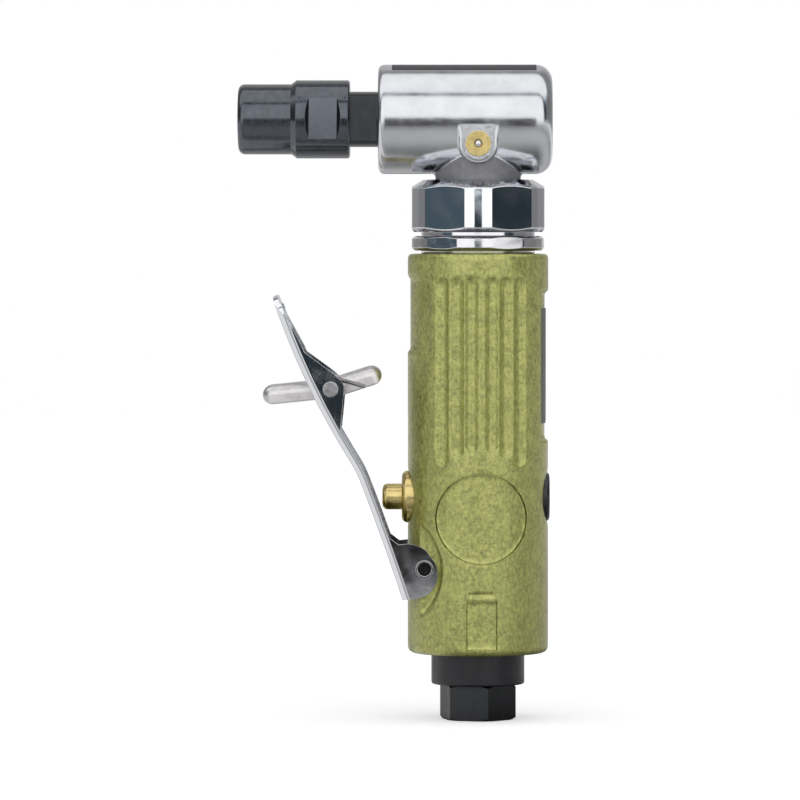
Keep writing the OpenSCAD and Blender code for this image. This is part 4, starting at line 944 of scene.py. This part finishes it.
class GRINDER_OT_turned(bpy.types.Operator):
    """Breaks the edges of the turned and milled pieces"""

    bl_idname = "grinder.turned"
    bl_label = "Turned pieces"

    def execute(self, context):
        slots = {row["node"]: row["material_slot"] for row in frame["record"]["subparts"]}
        bodies = frame["record"]["behaviour"]["bodies"]
        home = {node: body for body, nodes in bodies.items() for node in nodes}
        pieces = {
            "clamp_nut": (0.22, 3), "lock_ring": (0.45, 3), "coupling_sleeve": (0.15, 2),
            "collet_nut": (0.22, 3), "spindle": (0.18, 2), "collet": (0.12, 2),
            "inlet_bushing": (0.2, 2), "exhaust_deflector": (0.25, 3),
            "regulator_knob": (0.3, 3), "valve_stem": (0.15, 2), "valve_bushing": (0.15, 2),
            "grease_fitting": (0.12, 2), "lever_pin": (0.12, 2),
            "bearing_retainer": (0.15, 2), "head_plate": (0.08, 1), "side_plate": (0.08, 1),
            "exhaust_felt": (0.7, 4), "spindle_seal": (0.4, 4),
        }
        for node, (width, segments) in pieces.items():
            piece = blank(node, node + "_finished")
            rounded(piece, width, segments)
            smooth(piece, 35)
            settle(piece, home[node], node, slots[node])
            if node == "lever_pin":
                # Painted shade: the drilled bores and the pin's middle 12 mm take the near-black
                # finish
                piece.data.materials.append(bpy.data.materials["painted_shade_bore"])
                for face in piece.data.polygons:
                    away = face.center - HINGE
                    inside = math.hypot(away.x, away.z) < 1.68 * MM or abs(away.y) < 6 * MM
                    face.material_index = int(inside)
            if node == "collet_nut":
                piece.data.materials[0] = bpy.data.materials["oiled_oxide"]
                piece.data.materials.append(bpy.data.materials["flat_painted_reflection"])
                for face in piece.data.polygons:
                    # Large faces parallel to the spindle are the wrench flats; they take the
                    # lighter copy, a painted reflection
                    face.material_index = int(face.area > 15 * MM ** 2 and abs(face.normal.x) < 0.1)
            if node in ("inlet_bushing", "grease_fitting", "side_plate"):
                piece.data.materials[0] = frame["nodes"][node].data.materials[0]
        return {"FINISHED"}


class GRINDER_OT_studio(bpy.types.Operator):
    """Sets up the pale floor, the soft light and the camera"""

    bl_idname = "grinder.studio"
    bl_label = "Studio"

    def execute(self, context):
        scene = context.scene
        bpy.ops.object.select_all(action="DESELECT")
        bpy.ops.mesh.primitive_circle_add(
            vertices=96, radius=2.4, fill_type="NGON", location=(0, 0, -0.00005)
        )
        floor = context.object
        floor.name = "floor"
        material = bpy.data.materials.new("pale_floor")
        material.use_nodes = True
        board = Board(material.node_tree)
        seen = board.node("ShaderNodeLightPath", out="Is Camera Ray")
        place = board.place()
        across, along = [
            board.node("ShaderNodeSeparateXYZ", {}, {0: place}, out=i) for i in range(2)
        ]
        span = (across * across + along * along) ** 0.5
        aside = abs(across / along)
        left = board.between(across * -1 - abs(along) * 0.35, 0.0, 0.02)
        far = board.between(span, 0.31, 0.37)
        away = far.most(left) * board.node("ShaderNodeLightPath", out="Is Glossy Ray")
        # Painted reflection: for glossy rays the floor far off glows white, but for a dark gap
        # where the photographer stands
        gap = board.between(aside, 0.10, 0.115, 1, 0) * board.between(span, 0.48, 0.56)
        fade = board.between(span, 0.36, 1.4, 0.4, 1) * (1 - gap * 0.97)
        # To the left this painted reflection is white right up to the tool, with a darker band
        # across it
        reflected_dark_band = board.between(aside, 0.5, 0.6) * board.between(aside, 1.1, 1.3, 1, 0)
        fade = fade.most(left * (0.85 - reflected_dark_band * 0.45))
        # Painted shadow: for all but camera rays the floor is dark under the tool and pale further
        # out
        painted_shade_falloff = board.between(span, 0.0, 0.16)
        plain = board.mix(painted_shade_falloff, (0.12, 0.12, 0.12, 1), (0.68, 0.68, 0.68, 1))
        plain = board.mix(seen, plain, (0.8, 0.8, 0.8, 1))
        cloth = board.node(
            "ShaderNodeBsdfDiffuse", {}, {"Color": board.mix(away, plain, (0, 0, 0, 1))}
        )
        # The floor glows evenly for camera rays, and for glossy rays it glows as the painted
        # reflection
        glow = board.node(
            "ShaderNodeEmission", {},
            {"Color": (1, 1, 1, 1), "Strength": seen * 0.42 + away * fade},
        )
        both = board.node("ShaderNodeAddShader", {}, {0: cloth, 1: glow})
        board.node("ShaderNodeOutputMaterial", {}, {"Surface": both})
        floor.data.materials.append(material)

        world = bpy.data.worlds.new("soft_studio")
        scene.world = world
        world.use_nodes = True
        board = Board(world.node_tree)
        ray = board.node("ShaderNodeTexCoord", out="Generated")
        x, y, z = [board.node("ShaderNodeSeparateXYZ", {}, {0: ray}, out=i) for i in range(3)]
        degrees = 180 / math.pi
        bearing = abs(x.maths("ARCTAN2", x, y * -1) * degrees)
        height = z.maths("ARCSINE", z) * degrees
        tilt = z.maths("ARCTAN2", z, y * -1) * degrees
        # A soft box in front, one above, and the thin dark line between them
        front = board.between(bearing, 52, 56, 1, 0) * board.between(height, -20, -14)
        front = front * board.between(tilt, 48.5, 49.5, 1, 0)
        top = board.between(tilt, 55.5, 56.5) * board.between(tilt, 107, 114, 1, 0)
        line = board.between(tilt, 48.5, 49.5) * board.between(tilt, 55.5, 56.5, 1, 0)
        top = top * board.between(abs(x), 0.80, 0.92, 1, 0)
        back = board.between(bearing, 112, 122) * board.between(bearing, 146, 154, 1, 0)
        back = back * board.between(height, 48, 56, 1, 0)
        rear = board.between(bearing, 140, 165) * board.between(height, 50, 66, 1, 0)
        # Dark cards at both sides, the right one darker
        card = board.between(bearing, 54, 57) * board.between(bearing, 74, 80, 1, 0)
        card = card * board.between(height, 30, 40, 1, 0)
        gap = board.between(bearing, 5.6, 6.6, 1, 0) * board.between(height, -6, -5)
        gap = gap * board.between(height, 0.6, 1.4, 1, 0)
        level = 0.22 * (1 - card * (0.45 + board.between(x, -0.1, 0.1) * 0.35))
        level = level + front * 1.05 + top * 0.95 + back * 0.06 + rear * 0.35
        level = level * (1 - gap * 0.97)
        seen = board.node("ShaderNodeLightPath", out="Is Camera Ray")
        level = level * (1 - seen) + seen
        blue = (card + gap + line * 0.6).least(1) * (1 - seen)
        tint = board.mix(blue, (1, 1, 1, 1), (0.55, 0.80, 1.0, 1))
        light = board.node("ShaderNodeBackground", {}, {"Color": tint, "Strength": level})
        board.node("ShaderNodeOutputWorld", {}, {"Surface": light})

        camera = bpy.data.objects.new("camera", bpy.data.cameras.new("camera"))
        scene.collection.objects.link(camera)
        camera.data.sensor_width = 36
        camera.data.lens = 234
        camera.data.clip_start = 0.01
        camera.location = (-0.005, -1.3, 0.1174)
        aim = Vector((-0.0195, 0, 0.0798)) - camera.location
        camera.rotation_euler = aim.to_track_quat("-Z", "Y").to_euler()
        scene.camera = camera
        scene.view_settings.view_transform = "Standard"
        return {"FINISHED"}


class GRINDER_PT_panel(bpy.types.Panel):
    """The grinder's settings and steps"""

    bl_idname = "GRINDER_PT_panel"
    bl_label = "Die Grinder"
    bl_space_type = "VIEW_3D"
    bl_region_type = "UI"
    bl_category = "Die Grinder"

    def draw(self, context):
        for settings in (context.scene.grinder_shapes, context.scene.grinder_colours):
            for key in settings.__annotations__:
                self.layout.prop(settings, key)
        for step in STEPS:
            self.layout.operator(step.bl_idname)


STEPS = (
    GRINDER_OT_finishes, GRINDER_OT_handle, GRINDER_OT_head, GRINDER_OT_lever, GRINDER_OT_safety,
    GRINDER_OT_springs, GRINDER_OT_turned, GRINDER_OT_studio,
)
CLASSES = (GrinderShapes, GrinderColours, *STEPS, GRINDER_PT_panel)


def register():
    for kind in CLASSES:
        bpy.utils.register_class(kind)
    bpy.types.Scene.grinder_shapes = PointerProperty(type=GrinderShapes)
    bpy.types.Scene.grinder_colours = PointerProperty(type=GrinderColours)


def unregister():
    del bpy.types.Scene.grinder_colours
    del bpy.types.Scene.grinder_shapes
    for kind in reversed(CLASSES):
        bpy.utils.unregister_class(kind)


def main():
    register()
    bpy.ops.object.select_all(action="DESELECT")
    bpy.ops.grinder.finishes()
    bpy.ops.grinder.handle()
    bpy.ops.grinder.head()
    bpy.ops.grinder.lever()
    bpy.ops.grinder.safety()
    bpy.ops.grinder.springs()
    bpy.ops.grinder.turned()
    bpy.ops.grinder.studio()


if __name__ == "__main__":
    main()
